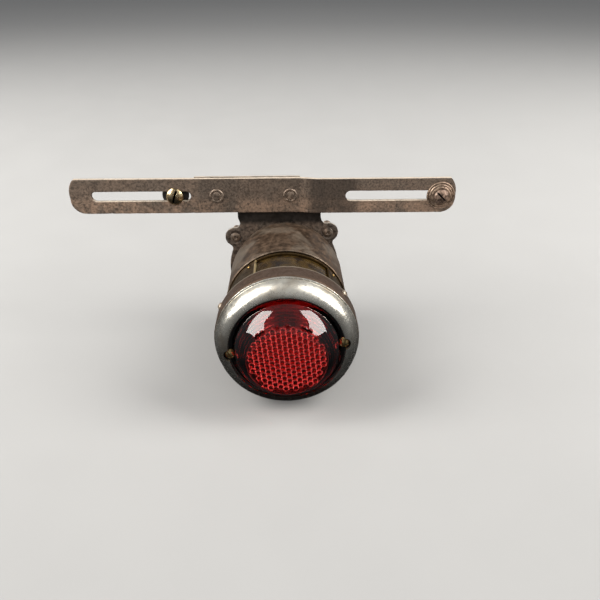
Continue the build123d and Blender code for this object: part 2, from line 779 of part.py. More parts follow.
def bulb_base():
    """Bayonet cap of the bulb with its two pins."""
    wall = 0.5
    cap = turned(profile(
        (0, BASE_BACK),
        (BASE_R, BASE_BACK),
        (BASE_R, BASE_FRONT),
        (BASE_R - wall, BASE_FRONT),
        (BASE_R - wall, BASE_BACK + 1.6),
        (0, BASE_BACK + 1.6),
    ))
    pin_root = BASE_R - 0.3
    pin = Rot(0, 90, 0) * Cylinder(PIN_R, PIN_TIP_R - pin_root)
    for side in (-1, 1):
        cap += Pos(side * (pin_root + PIN_TIP_R) / 2, -PIN_DEPTH, 0) * pin
    return cap


def bulb_contact():
    """Solder contact on the bottom of the bulb."""
    return rod(2.2, PLUNGER_FACE, BASE_BACK)


def bulb_glass():
    """Thin round envelope with a neck that sits in the cap."""
    wall = 0.7
    neck_r = BASE_R - 0.7
    neck_back = BASE_FRONT - 5.0

    def envelope(ball_r, neck):
        meet = BULB_GLASS_DEPTH - sqrt(ball_r ** 2 - neck ** 2)
        crown = (0, BULB_GLASS_DEPTH + ball_r)
        side = (ball_r, BULB_GLASS_DEPTH)
        arc = ThreePointArc((neck, meet), side, crown)
        return turned(make_face(Polyline(crown, (0, neck_back), (neck, neck_back), (neck, meet)) + arc))

    hollow = envelope(BULB_GLASS_R - wall, neck_r - wall)
    return envelope(BULB_GLASS_R, neck_r) - hollow


def bulb_filament():
    """Glass bead, two support wires and the filament between them."""
    half_span = 3.0
    wire_r = 0.35
    bead_back = BASE_BACK + 1.6
    body = rod(4.6, bead_back, bead_back + 4.0) + rod(2.6, bead_back + 4.0, bead_back + 15.0)
    for side in (-1, 1):
        wire = rod(wire_r, bead_back + 8.0, BULB_GLASS_DEPTH)
        body += on_axis_parallel(wire, side * half_span / 1.6, 0)
    coil = Rot(0, 90, 0) * Cylinder(0.55, 2 * half_span)
    return body + Pos(0, -BULB_GLASS_DEPTH, 0) * coil


# ---------------------------------------------------------------- clamp screws in the bar

def left_plate_screw():
    """Brass screw with an oval head on the bar's left arm."""
    head = dome_head(LEFT_SCREW_HEAD_R, LEFT_SCREW_HEAD_H, LEFT_ARM_FRONT, 0.8)
    top = LEFT_ARM_FRONT + LEFT_SCREW_HEAD_H
    head -= driver_slot(3 * LEFT_SCREW_HEAD_R, 1.5, 2.0, LEFT_SCREW_SLOT_TILT, top)
    nut_back = BRACKET_T - LEFT_WASHER_T - NUT_T
    screw = head + rod(CLAMP_SHANK_R, nut_back - 2.0, LEFT_ARM_FRONT)
    return on_axis_parallel(screw, LEFT_SCREW_X, BAR_Z)


def left_plate_washer():
    """Black rubber washer behind the bar's left arm."""
    washer = ring(CLAMP_SHANK_R + FIT_GAP, LEFT_WASHER_R, BRACKET_T - LEFT_WASHER_T, BRACKET_T)
    return on_axis_parallel(washer, LEFT_SCREW_X, BAR_Z)


def left_plate_nut():
    """Nut of the left screw."""
    front = BRACKET_T - LEFT_WASHER_T
    nut = hex_prism(NUT_ACROSS_FLATS, front - NUT_T, front, CLAMP_SHANK_R + FIT_GAP)
    return on_axis_parallel(nut, LEFT_SCREW_X, BAR_Z)


def right_plate_screw():
    """Steel round-head screw that stands on the cup washer."""
    seat = RIGHT_ARM_FRONT + CUP_WASHER_RISE
    head = dome_head(RIGHT_SCREW_HEAD_R, RIGHT_SCREW_HEAD_H, seat, 0.8)
    top = seat + RIGHT_SCREW_HEAD_H
    head -= driver_slot(3 * RIGHT_SCREW_HEAD_R, 1.3, 1.8, RIGHT_SCREW_SLOT_TILT, top)
    arm_back = RIGHT_ARM_FRONT - BAR_T
    screw = head + rod(CLAMP_SHANK_R, arm_back - NUT_T - 2.0, seat)
    return on_axis_parallel(screw, RIGHT_SCREW_X, BAR_Z)


def right_cup_washer():
    """Dished washer: its rim stands on the bar and its raised middle carries the head."""
    base = RIGHT_ARM_FRONT
    flat_r = RIGHT_SCREW_HEAD_R + 0.6
    bore_r = CLAMP_SHANK_R + 0.2
    washer = turned(profile(
        (bore_r, base + CUP_WASHER_RISE - CUP_WASHER_T),
        (flat_r, base + CUP_WASHER_RISE - CUP_WASHER_T),
        (CUP_WASHER_R - 1.6, base),
        (CUP_WASHER_R, base),
        (CUP_WASHER_R, base + CUP_WASHER_T * 0.8),
        (CUP_WASHER_R - 1.2, base + CUP_WASHER_T),
        (flat_r + 0.4, base + CUP_WASHER_RISE),
        (bore_r, base + CUP_WASHER_RISE),
    ))
    return on_axis_parallel(washer, RIGHT_SCREW_X, BAR_Z)


def right_plate_nut():
    """Nut of the right screw."""
    front = RIGHT_ARM_FRONT - BAR_T
    nut = hex_prism(NUT_ACROSS_FLATS, front - NUT_T, front, CLAMP_SHANK_R + FIT_GAP)
    return on_axis_parallel(nut, RIGHT_SCREW_X, BAR_Z)


# ---------------------------------------------------------------- output

PIECES = {
    "number_plate_bar": number_plate_bar,
    "mounting_bracket": mounting_bracket,
    "bar_rivets": bar_rivets,
    "ear_studs": ear_studs,
    "lamp_body": lamp_body,
    "body_rivets": body_rivets,
    "cable_grommet": cable_grommet,
    "window_drum": window_drum,
    "plate_window": plate_window,
    "window_frame": window_frame,
    "window_rivets": window_rivets,
    "reflector": reflector,
    "bulb_socket": bulb_socket,
    "socket_rivets": socket_rivets,
    "contact_insulator": contact_insulator,
    "contact_spring": contact_spring,
    "contact_plunger": contact_plunger,
    "terminal_nut": terminal_nut,
    "bulb_base": bulb_base,
    "bulb_contact": bulb_contact,
    "bulb_glass": bulb_glass,
    "bulb_filament": bulb_filament,
    "lens_seat_gasket": lens_seat_gasket,
    "lens": lens,
    "lens_gasket": lens_gasket,
    "lens_screws": lens_screws,
    "lens_screw_nuts": lens_screw_nuts,
    "bezel_skirt": bezel_skirt,
    "bezel_ring": bezel_ring,
    "bezel_screws": bezel_screws,
    "left_plate_screw": left_plate_screw,
    "left_plate_washer": left_plate_washer,
    "left_plate_nut": left_plate_nut,
    "right_plate_screw": right_plate_screw,
    "right_cup_washer": right_cup_washer,
    "right_plate_nut": right_plate_nut,
}

os.makedirs("parts", exist_ok=True)
for name, make in PIECES.items():
    made = make()
    solids = made if isinstance(made, list) else [made]
    shape = Compound(children=solids) if len(solids) > 1 else solids[0]
    export_step(shape, f"parts/{name}.step")
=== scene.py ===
"""Looks of the tail light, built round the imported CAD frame."""

import json
import math

import bmesh
import bpy
import numpy as np
from mathutils import Matrix, Vector


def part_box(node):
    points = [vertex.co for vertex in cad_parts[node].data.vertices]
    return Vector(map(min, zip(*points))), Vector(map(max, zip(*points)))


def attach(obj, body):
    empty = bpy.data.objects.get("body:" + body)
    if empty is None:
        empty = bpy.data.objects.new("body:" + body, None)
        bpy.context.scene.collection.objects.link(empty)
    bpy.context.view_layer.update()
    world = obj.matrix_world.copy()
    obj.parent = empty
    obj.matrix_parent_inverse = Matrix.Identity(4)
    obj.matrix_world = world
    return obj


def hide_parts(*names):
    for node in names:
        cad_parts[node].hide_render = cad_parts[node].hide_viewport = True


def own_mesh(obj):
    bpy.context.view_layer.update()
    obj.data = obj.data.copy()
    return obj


MM = 0.001
TAU = 2 * math.pi

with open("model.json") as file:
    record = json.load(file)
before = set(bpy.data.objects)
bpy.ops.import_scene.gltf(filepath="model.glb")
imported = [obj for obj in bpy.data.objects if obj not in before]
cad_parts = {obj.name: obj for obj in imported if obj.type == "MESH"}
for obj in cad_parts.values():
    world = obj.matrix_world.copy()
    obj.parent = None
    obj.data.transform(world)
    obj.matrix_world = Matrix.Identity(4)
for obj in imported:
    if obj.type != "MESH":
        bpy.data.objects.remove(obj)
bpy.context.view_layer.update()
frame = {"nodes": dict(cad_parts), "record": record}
NODES = frame["nodes"]
BODY_OF = {node: body for body, nodes in frame["record"]["behaviour"]["bodies"].items() for node in nodes}

# Lengths repeated from the CAD, in millimetres
BRACKET_T = 2.0
BAR_Z = 58.4
HEAD_ROLL = math.radians(6.0)
EAR_MID = (-3.0, 26.7)
EAR_PCR = 34.8
EAR_TILT = math.radians(2.6)
LENS_BACK = 110.5
LENS_FLANGE_FRONT = 113.2
LENS_SCREW_PCR = 34.6
LENS_NOTCH_R = 3.9
WINDOW_HALF_ANGLE = math.radians(36.0)
WINDOW_MIDDLE = math.radians(90.0 - 7.0)
WINDOW_DEPTHS = (64.5, 89.6)
CABLE_DEPTH = 22.0
CLAMP_SHANK_R = 2.4

FLOOR_Z = -48.0         # just under the lamp, in millimetres
THREAD_SLACK = 0.14     # how much thinner than the shank a clamp screw's thread is, all round
SHARP_EDGE = math.radians(38)
# near-black painted shade for the insides of screw slots
SLOT_SHADE_COLOUR = (14, 11, 8)


# ---------------------------------------------------------------- numbers

def value_noise(points, size, seed):
    """Smooth noise from -1 to 1 at points, with bumps about size across."""
    n = 24
    grid = np.random.default_rng(seed).random((n, n, n)) * 2 - 1
    p = np.asarray(points) / size + 100.0
    base = np.floor(p).astype(int)
    f = p - base
    f = f * f * (3 - 2 * f)
    total = 0
    for corner in range(8):
        step = np.array([corner & 1, corner >> 1 & 1, corner >> 2 & 1])
        i = (base + step) % n
        weight = np.prod(np.where(step, f, 1 - f), axis=-1)
        total = total + weight * grid[i[..., 0], i[..., 1], i[..., 2]]
    return total


def polar(radius, angle):
    return radius * math.cos(angle), radius * math.sin(angle)


def turned(radius, depth, angle):
    """Points at a radius, depth and angle about the lamp's axis."""
    return np.stack([radius * np.cos(angle), -depth, radius * np.sin(angle)], -1)


def lens_screw_places():
    return [polar(LENS_SCREW_PCR, HEAD_ROLL), polar(LENS_SCREW_PCR, HEAD_ROLL + math.pi)]


def ear_places():
    dx, dz = polar(EAR_PCR, EAR_TILT)
    return [(EAR_MID[0] - dx, EAR_MID[1] - dz), (EAR_MID[0] + dx, EAR_MID[1] + dz)]


# ---------------------------------------------------------------- sections

def rounded(points, radius):
    """Open line with rounded corners."""
    points = [np.array(p, float) for p in points]
    out = [points[0]]
    for a, b, c in zip(points, points[1:], points[2:]):
        u, v = a - b, c - b
        lu, lv = np.linalg.norm(u), np.linalg.norm(v)
        reach = min(radius, 0.45 * lu, 0.45 * lv)
        p0, p1 = b + u / lu * reach, b + v / lv * reach
        for t in np.linspace(0, 1, 6):
            out.append((1 - t) ** 2 * p0 + 2 * t * (1 - t) * b + t * t * p1)
    out.append(points[-1])
    return np.array(out)


def resampled(points, step):
    """The same line, with points no more than a step apart."""
    out = [points[0]]
    for a, b in zip(points, points[1:]):
        count = max(1, int(np.ceil(np.linalg.norm(b - a) / step)))
        out += [a + (b - a) * k / count for k in range(1, count + 1)]
    return np.array(out)


def sheet_section(points, thickness, radius, step=1.0):
    """Closed section of a sheet whose outer side follows points from back to front."""
    outer = resampled(rounded(points, radius), step)
    along = np.gradient(outer, axis=0)
    along /= np.linalg.norm(along, axis=1)[:, None]
    normal = np.stack([along[:, 1], -along[:, 0]], 1)
    inner = outer - normal * thickness
    inner[:, 0] = np.maximum(inner[:, 0], 0)
    tip = 0.35 * thickness
    front = (outer[-1] + inner[-1]) / 2 + along[-1] * tip
    back = (outer[0] + inner[0]) / 2 - along[0] * tip
    if outer[0][0] < 1e-6:
        return np.concatenate([outer, [front], inner[::-1]]), False
    return np.concatenate([outer, [front], inner[::-1], [back]]), True


# ---------------------------------------------------------------- meshes

def mesh_piece(name, verts_mm, faces):
    """New object from points in millimetres."""
    mesh = bpy.data.meshes.new(name)
    mesh.from_pydata((np.asarray(verts_mm) * MM).tolist(), [], faces)
    mesh.update()
    obj = bpy.data.objects.new(name, mesh)
    bpy.context.scene.collection.objects.link(obj)
    return obj


def grid_faces(rows, columns, close_rows):
    """Quads of a grid that closes round its columns and, if asked, its rows too."""
    i = np.arange(rows if close_rows else rows - 1)[:, None]
    j = np.arange(columns)[None, :]
    k, m = (i + 1) % rows, (j + 1) % columns
    quads = np.stack([i * columns + j, i * columns + m, k * columns + m, k * columns + j], -1)
    return quads.reshape(-1, 4).tolist()


def lathe(name, section, ring, segments, shape=None):
    """Turned piece about the lamp's axis. section is (radius, depth) in mm, round a loop if ring, or else from axis
    to axis. shape takes and gives back arrays of radius and depth, and takes the angle."""
    section = np.array(section, float)
    ends = []
    if not ring:
        ends = [section[0].copy(), section[-1].copy()]
        section = section[1:-1]
    a = np.broadcast_to(np.linspace(0, TAU, segments, endpoint=False), (len(section), segments))
    r = np.repeat(section[:, :1], segments, 1)
    d = np.repeat(section[:, 1:], segments, 1)
    if shape:
        r, d = shape(r, d, a)
    verts = turned(r, d, a).reshape(-1, 3)
    faces = grid_faces(len(section), segments, ring)
    if ends:
        verts = np.concatenate([verts, [[0, -ends[0][1], 0], [0, -ends[1][1], 0]]])
        last = (len(section) - 1) * segments
        for j in range(segments):
            m = (j + 1) % segments
            faces.append([len(verts) - 2, m, j])
            faces.append([len(verts) - 1, last + j, last + m])
    obj = mesh_piece(name, verts, faces)
    outward(obj)
    return obj


def outward(obj):
    """Every face's normal points out of the solid."""
    bm = bmesh.new()
    bm.from_mesh(obj.data)
    bmesh.ops.recalc_face_normals(bm, faces=bm.faces)
    bm.to_mesh(obj.data)
    bm.free()


def settle(obj):
    """Applies the modifiers."""
    deps = bpy.context.evaluated_depsgraph_get()
    mesh = bpy.data.meshes.new_from_object(obj.evaluated_get(deps))
    obj.modifiers.clear()
    old = obj.data
    obj.data = mesh
    bpy.data.meshes.remove(old)


def boolean(obj, tool, operation="DIFFERENCE"):
    """Cuts the tool away, or joins it on, and removes it."""
    modifier = obj.modifiers.new("cut", "BOOLEAN")
    modifier.operation = operation
    modifier.solver = "EXACT"
    modifier.object = tool
    settle(obj)
    bpy.data.objects.remove(tool)


def rod(x, z, radius, back, front):
    """Cutter parallel to the lamp's axis."""
    segments = 64
    ring = [(x + radius * math.cos(t), z + radius * math.sin(t)) for t in np.arange(segments) * TAU / segments]
    verts = [(px, -d, pz) for d in (back, front) for px, pz in ring]
    faces = [[j, (j + 1) % segments, segments + (j + 1) % segments, segments + j] for j in range(segments)]
    faces += [list(range(segments))[::-1], list(range(segments, 2 * segments))]
    obj = mesh_piece("tool", verts, faces)
    outward(obj)
    return obj


def coordinates(obj):
    """The points of a mesh, in millimetres."""
    co = np.zeros(len(obj.data.vertices) * 3)
    obj.data.vertices.foreach_get("co", co)
    return co.reshape(-1, 3) / MM


def set_coordinates(obj, points):
    obj.data.vertices.foreach_set("co", (points * MM).ravel())
    obj.data.update()


def normals(obj):
    out = np.zeros(len(obj.data.vertices) * 3)
    obj.data.vertex_normals.foreach_get("vector", out)
    return out.reshape(-1, 3)


def weather(obj, waves=(), pits=()):
    """Moves the surface along its normals. waves and pits are (amount, size, seed) in mm."""
    p = coordinates(obj)
    move = np.zeros(len(p))
    for amount, size, seed in waves:
        move += amount * value_noise(p, size, seed)
    for amount, size, seed in pits:
        depth = np.clip(value_noise(p, size, seed) - 0.25, 0, 0.5) / 0.5
        move -= amount * depth
    set_coordinates(obj, p + normals(obj) * move[:, None])


def worn_copy(node, voxel, relax, waves=(), pits=()):
    """New piece with the shape of a CAD node, its edges softened and its faces uneven."""
    mesh = NODES[node].data.copy()
    obj = bpy.data.objects.new(node + "_worn", mesh)
    bpy.context.scene.collection.objects.link(obj)
    bm = bmesh.new()
    bm.from_mesh(mesh)
    bmesh.ops.remove_doubles(bm, verts=bm.verts, dist=1e-7)
    bm.to_mesh(mesh)
    bm.free()
    remesh = obj.modifiers.new("remesh", "REMESH")
    remesh.mode = "VOXEL"
    remesh.voxel_size = voxel * MM
    smooth = obj.modifiers.new("relax", "SMOOTH")
    smooth.factor = 0.5
    smooth.iterations = relax
    settle(obj)
    weather(obj, waves, pits)
    return obj


def shrink(obj, x, z, amount_at):
    """Moves points towards the line at x, z parallel to Y. amount_at takes radius, turn and Y."""
    p = coordinates(obj)
    dx, dz = p[:, 0] - x, p[:, 2] - z
    r = np.hypot(dx, dz)
    scale = 1 - amount_at(r, np.arctan2(dz, dx) / TAU, p[:, 1]) / np.maximum(r, 1e-6)
    p[:, 0], p[:, 2] = x + dx * scale, z + dz * scale
    set_coordinates(obj, p)


def slim(obj, x, z, radius, amount):
    """Makes a screw's shank a little thinner, so that its thread runs free in its holes."""
    shrink(obj, x, z, lambda r, turn, y: np.where(np.abs(r - radius) < 0.2, amount, 0))


def thread(obj, x, z, radius, y_from, y_to, pitch, deep):
    """Cuts a thread into the plain shank, between two values of Y."""
    def depth(r, turn, y):
        phase = (y / pitch - turn) % 1.0
        fade = np.clip((y - y_from) / pitch, 0, 1) * np.clip((y_to - y) / (0.3 * pitch), 0, 1)
        on = (np.abs(r - radius) < 0.25) * fade
        return on * deep * np.abs(2 * phase - 1)

    shrink(obj, x, z, depth)


def slot_painted_shade(obj, x, z, tilt, half_width, front, head_r, head_h):
    """Marks the points inside a screw's slot, for its material. The head is a dome of radius head_r and height
    head_h whose crown is at front."""
    p = coordinates(obj)
    dx, dz = p[:, 0] - x, p[:, 2] - z
    across = dx * math.cos(tilt) - dz * math.sin(tilt)
    surface = front + head_h * (np.hypot(dx, dz) / head_r) ** 2
    within = np.clip((half_width + 0.12 - np.abs(across)) / 0.1, 0, 1)
    deep = np.clip((p[:, 1] - surface - 0.15) / 0.3, 0, 1)
    # the material paints these points near-black: painted shade in the slot
    mark(obj, "grime_and_painted_shade", within * deep)


def mark(obj, attribute, values):
    """Stores one number per point, for a material to read."""
    obj.data.attributes.new(attribute, "FLOAT", "POINT").data.foreach_set("value", values)


def dress(obj, name, material, *nodes):
    """Names a finished piece, gives it its material, and ties it to the CAD nodes it stands for."""
    obj.name = name
    obj.data.name = name
    obj.data.materials.clear()
    obj.data.materials.append(material)
    obj.data.shade_smooth()
    obj.data.set_sharp_from_angle(angle=SHARP_EDGE)
    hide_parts(*nodes)
    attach(obj, BODY_OF[nodes[0]])


# ---------------------------------------------------------------- materials

def srgb(r, g, b):
    """Linear colour of an 8-bit sRGB triple."""
    def channel(c):
        c /= 255
        return c / 12.92 if c <= 0.04045 else ((c + 0.055) / 1.055) ** 2.4
    return (channel(r), channel(g), channel(b), 1.0)


def scaled(colour, factor):
    return tuple(min(1, factor * c) for c in colour[:3]) + (1.0,)


class Surface:
    """A node material. Sizes are in millimetres of the piece's own frame."""

    def __init__(self, name, **sockets):
        self.material = bpy.data.materials.new(name)
        self.material.use_nodes = True
        self.tree = self.material.node_tree
        self.tree.nodes.clear()
        self.bsdf = self.node("ShaderNodeBsdfPrincipled")
        out = self.node("ShaderNodeOutputMaterial")
        self.link(self.bsdf.outputs[0], out.inputs[0])
        for key, value in sockets.items():
            self.bsdf.inputs[key.replace("_", " ")].default_value = value
        self.place = self.node("ShaderNodeTexCoord").outputs["Object"]

    def node(self, kind, **props):
        n = self.tree.nodes.new(kind)
        for key, value in props.items():
            setattr(n, key, value)
        return n

    def link(self, a, b):
        self.tree.links.new(a, b)

    def put(self, socket, value):
        """A link if value is a socket, or else a constant."""
        if isinstance(value, bpy.types.NodeSocket):
            self.link(value, socket)
        else:
            socket.default_value = value

    def stretched(self, x=1.0, y=1.0, z=1.0):
        """The place, scaled per axis, for streaks."""
        n = self.node("ShaderNodeMapping")
        n.inputs["Scale"].default_value = (x, y, z)
        self.link(self.place, n.inputs["Vector"])
        return n.outputs[0]

    def noise(self, size, detail=4.0, rough=0.55, distort=0.0, place=None):
        n = self.node("ShaderNodeTexNoise")
        n.inputs["Scale"].default_value = 1 / (size * MM)
        n.inputs["Detail"].default_value = detail
        n.inputs["Roughness"].default_value = rough
        n.inputs["Distortion"].default_value = distort
        self.link(place or self.place, n.inputs["Vector"])
        return n.outputs["Fac"]

    def cells(self, size):
        n = self.node("ShaderNodeTexVoronoi")
        n.inputs["Scale"].default_value = 1 / (size * MM)
        self.link(self.place, n.inputs["Vector"])
        return n.outputs["Distance"]

    def axis(self, letter):
        n = self.node("ShaderNodeSeparateXYZ")
        self.link(self.place, n.inputs[0])
        return n.outputs[letter]

    def spread(self, value, low, high, to_low=0.0, to_high=1.0):
        """Smooth step of the value, which may fall: low may be above high."""
        n = self.node("ShaderNodeMapRange", clamp=True)
        n.interpolation_type = "SMOOTHSTEP"
        self.put(n.inputs[0], value)
        for i, v in enumerate((low, high, to_low, to_high)):
            n.inputs[i + 1].default_value = v
        return n.outputs[0]

    def math(self, operation, a, b=0.0, clamp=False):
        n = self.node("ShaderNodeMath", operation=operation, use_clamp=clamp)
        self.put(n.inputs[0], a)
        self.put(n.inputs[1], b)
        return n.outputs[0]

    def mix(self, factor, a, b):
        n = self.node("ShaderNodeMix", data_type="RGBA")
        self.put(n.inputs[0], factor)
        self.put(n.inputs[6], a)
        self.put(n.inputs[7], b)
        return n.outputs[2]

    def edge(self):
        """1 on worn convex edges."""
        return self.spread(self.node("ShaderNodeNewGeometry").outputs["Pointiness"], 0.52, 0.62)

    def hollow(self):
        """1 in concave corners."""
        return self.spread(self.node("ShaderNodeNewGeometry").outputs["Pointiness"], 0.48, 0.40)

    def up(self, low=0.55, high=0.85):
        """1 on faces that look up."""
        n = self.node("ShaderNodeSeparateXYZ")
        self.link(self.node("ShaderNodeTexCoord").outputs["Normal"], n.inputs[0])
        return self.spread(n.outputs["Z"], low, high)

    def marked(self, attribute, colour, other):
        """The colour, but the other one where the mesh was marked."""
        return self.mix(self.node("ShaderNodeAttribute", attribute_name=attribute).outputs["Fac"], colour, other)

    def set(self, socket, value):
        self.put(self.bsdf.inputs[socket], value)

    def bump(self, *layers):
        """layers are (height socket, height in mm)."""
        normal = None
        for height, amount in layers:
            n = self.node("ShaderNodeBump")
            n.inputs["Strength"].default_value = 1.0
            n.inputs["Distance"].default_value = amount * MM
            self.link(height, n.inputs["Height"])
            if normal is not None:
                self.link(normal, n.inputs["Normal"])
            normal = n.outputs[0]
        self.set("Normal", normal)


def rusty_steel(name, dark, mid, rust, rust_share, metal, rough=0.5):
    """Old bare steel: mottled brown patina, rust in patches, pits and rubbed edges."""
    s = Surface(name)
    broad = s.noise(14, 5, 0.6, 0.4)
    mottle = s.noise(2.6, 6, 0.7)
    fine = s.noise(0.5, 4, 0.7)
    pits = s.spread(s.cells(1.1), 0.10, 0.32)
    colour = s.mix(s.spread(mottle, 0.35, 0.65), dark, mid)
    patches = s.math("MULTIPLY", s.spread(broad, 0.40, 0.62), s.spread(mottle, 0.3, 0.6))
    rust_mask = s.math("MULTIPLY", patches, rust_share, clamp=True)
    colour = s.mix(rust_mask, colour, rust)
    speck = s.spread(fine, 0.62, 0.72)
    colour = s.mix(s.math("MULTIPLY", speck, 0.7), colour, scaled(dark, 0.35))
    colour = s.mix(s.math("MULTIPLY", s.edge(), 0.75), colour, scaled(mid, 2.4))
    # painted shade: near-black inside the screw slots marked on the mesh
    colour = s.marked("grime_and_painted_shade", colour, srgb(*SLOT_SHADE_COLOUR))
    s.set("Base Color", colour)
    s.set("Metallic", s.math("SUBTRACT", metal, s.math("MULTIPLY", rust_mask, 0.6)))
    s.set("Roughness", s.spread(s.math("ADD", mottle, s.math("MULTIPLY", rust_mask, 0.5)), 0.3, 0.95,
                                rough - 0.1, rough + 0.25))
    s.bump((pits, 0.05), (mottle, 0.10), (fine, 0.05))
    return s


def bar_material():
    """Bar steel: rustier below, darker in the middle, sooty right of it, with a painted highlight on the faces that
    look up.
    """
    s = Surface("bar_steel_worn")
    broad = s.noise(16, 5, 0.6, 0.4)
    mottle = s.noise(1.5, 6, 0.75)
    fine = s.noise(0.5, 4, 0.7)
    below = s.spread(s.axis("Z"), 0.0605, 0.0500)
    pits = s.spread(s.cells(1.2), 0.10, 0.34)
    colour = s.mix(s.spread(mottle, 0.34, 0.66), srgb(74, 64, 56), srgb(124, 109, 96))
    patches = s.math("MULTIPLY", s.spread(broad, 0.36, 0.60), s.spread(mottle, 0.30, 0.62))
    rust = s.math("MULTIPLY", patches, s.spread(below, 0.0, 1.0, 0.25, 1.0))
    colour = s.mix(rust, colour, srgb(140, 114, 94))
    colour = s.mix(s.spread(fine, 0.60, 0.70, 0.0, 0.55), colour, srgb(26, 22, 19))
    colour = s.mix(s.math("MULTIPLY", s.edge(), 0.6), colour, srgb(168, 152, 136))
    along = s.axis("X")
    middle = s.math("MULTIPLY", s.spread(along, -0.066, -0.058), s.spread(along, 0.014, 0.008))
    colour = s.mix(s.math("MULTIPLY", middle, 0.30), colour, srgb(52, 47, 42))
    soot = s.math("MULTIPLY", s.spread(along, 0.014, 0.020), s.spread(along, 0.056, 0.046))
    colour = s.mix(s.math("MULTIPLY", soot, 0.60), colour, srgb(38, 34, 31))
    # painted highlight: faces that look up are painted near-white, broken up by the mottle
    painted_highlight = s.math("MULTIPLY", s.up(), s.spread(mottle, 0.30, 0.50, 0.35, 0.95))
    colour = s.mix(painted_highlight, colour, srgb(202, 188, 170))
    s.set("Base Color", colour)
    s.set("Metallic", s.spread(rust, 0.0, 1.0, 0.45, 0.10))
    s.set("Roughness", s.spread(mottle, 0.3, 0.8, 0.44, 0.70))
    s.bump((pits, 0.06), (mottle, 0.14), (fine, 0.06))
    return s.material


def bracket_material():
    """Bare plate, black, with a painted shadow of the bar on the part beneath it and painted highlights on faces that
    look up.
    """
    s = rusty_steel("bracket_steel_worn", srgb(52, 46, 41), srgb(100, 90, 81), srgb(108, 84, 67), 0.35, 0.45)
    height = s.axis("Z")
    # painted shadow: the plate just beneath the bar is painted nearly black
    painted_bar_shadow = s.math("MULTIPLY", s.spread(height, 0.0335, 0.0385), s.spread(height, 0.0500, 0.0475))
    old = s.bsdf.inputs["Base Color"].links[0].from_socket
    colour = s.mix(s.math("MULTIPLY", painted_bar_shadow, 0.92), old, srgb(20, 18, 16))
    # painted highlight on the faces and edges that look up
    s.set("Base Color", s.mix(s.math("MULTIPLY", s.up(), 0.8), colour, srgb(190, 180, 166)))
    return s.material


def body_material():
    """Drawn steel cup: brown patina with grey rubbed areas and faint drawing lines round it."""
    s = Surface("body_steel_worn")
    broad = s.noise(22, 4, 0.55, 0.6)
    mottle = s.noise(4.0, 6, 0.65)
    fine = s.noise(0.6, 4, 0.7)
    lines = s.noise(6.0, 3, 0.6, 0, s.stretched(0.15, 9.0, 0.15))
    colour = s.mix(s.spread(mottle, 0.32, 0.68), srgb(80, 65, 52), srgb(122, 101, 83))
    grey = s.spread(broad, 0.46, 0.62)
    colour = s.mix(grey, colour, srgb(138, 124, 109))
    colour = s.mix(s.spread(fine, 0.62, 0.72, 0, 0.6), colour, srgb(42, 33, 27))
    colour = s.mix(s.math("MULTIPLY", s.edge(), 0.35), colour, srgb(132, 122, 110))
    s.set("Base Color", colour)
    s.set("Metallic", 0.85)
    s.set("Roughness", s.spread(mottle, 0.3, 0.75, 0.34, 0.56))
    s.bump((lines, 0.03), (mottle, 0.06), (fine, 0.025))
    return s.material


def brass(name, light, dark, rough, size):
    """Old brass, or other bright metal, with mottling of the given size, darker in its concave corners, with painted
    shade in marked slots and a painted highlight where marked.
    """
    s = Surface(name, Metallic=1.0)
    mottle = s.noise(size, 6, 0.65, 0.3)
    fine = s.noise(size * 0.15, 4, 0.7)
    colour = s.mix(s.spread(mottle, 0.35, 0.65), light, dark)
    colour = s.mix(s.math("MULTIPLY", s.hollow(), 0.8), colour, scaled(dark, 0.15))
    colour = s.mix(s.math("MULTIPLY", s.edge(), 0.6), colour, scaled(light, 1.25))
    # painted shade: near-black inside the screw slots marked on the mesh
    colour = s.marked("grime_and_painted_shade", colour, srgb(*SLOT_SHADE_COLOUR))
    # painted highlight where the mesh is marked, along the window's edge
    colour = s.marked("painted_highlight", colour, srgb(236, 214, 166))
    s.set("Base Color", colour)
    s.set("Roughness", s.spread(mottle, 0.3, 0.75, rough - 0.1, rough + 0.2))
    s.bump((mottle, 0.03), (fine, 0.015))
    return s.material


def chrome_material():
    """Old plating: bright, scratched and hazy on top, with a painted dark reflection underneath and small pits."""
    s = Surface("bezel_chrome_worn", Metallic=1.0)
    broad = s.noise(18, 4, 0.6, 0.5)
    mottle = s.noise(2.2, 6, 0.7)
    fine = s.noise(0.35, 3, 0.6)
    scratches = s.noise(1.4, 3, 0.8, 1.5, s.stretched(1.0, 0.18, 1.0))
    pits = s.spread(s.cells(1.7), 0.04, 0.14)
    colour = s.mix(s.spread(broad, 0.42, 0.68), srgb(230, 226, 214), srgb(194, 184, 168))
    colour = s.mix(s.spread(mottle, 0.56, 0.74, 0.0, 0.40), colour, srgb(156, 136, 116))
    colour = s.mix(s.math("SUBTRACT", 1.0, pits), colour, srgb(60, 44, 34))
    # painted reflection: the underside is painted dark brown, as if it mirrored dark surroundings
    painted_dark_underside = s.spread(s.axis("Z"), -0.016, -0.036)
    colour = s.mix(s.math("MULTIPLY", painted_dark_underside, 0.85), colour, srgb(84, 58, 50))
    s.set("Base Color", colour)
    worn = s.math("ADD", s.spread(mottle, 0.35, 0.8, 0.18, 0.34),
                  s.spread(scratches, 0.55, 0.75, 0.0, 0.18))
    hazy = s.math("MULTIPLY", s.up(0.25, 0.9), 0.14)
    s.set("Roughness", s.math("ADD", worn, hazy))
    s.bump((mottle, 0.02), (scratches, 0.018), (fine, 0.006))
    return s.material


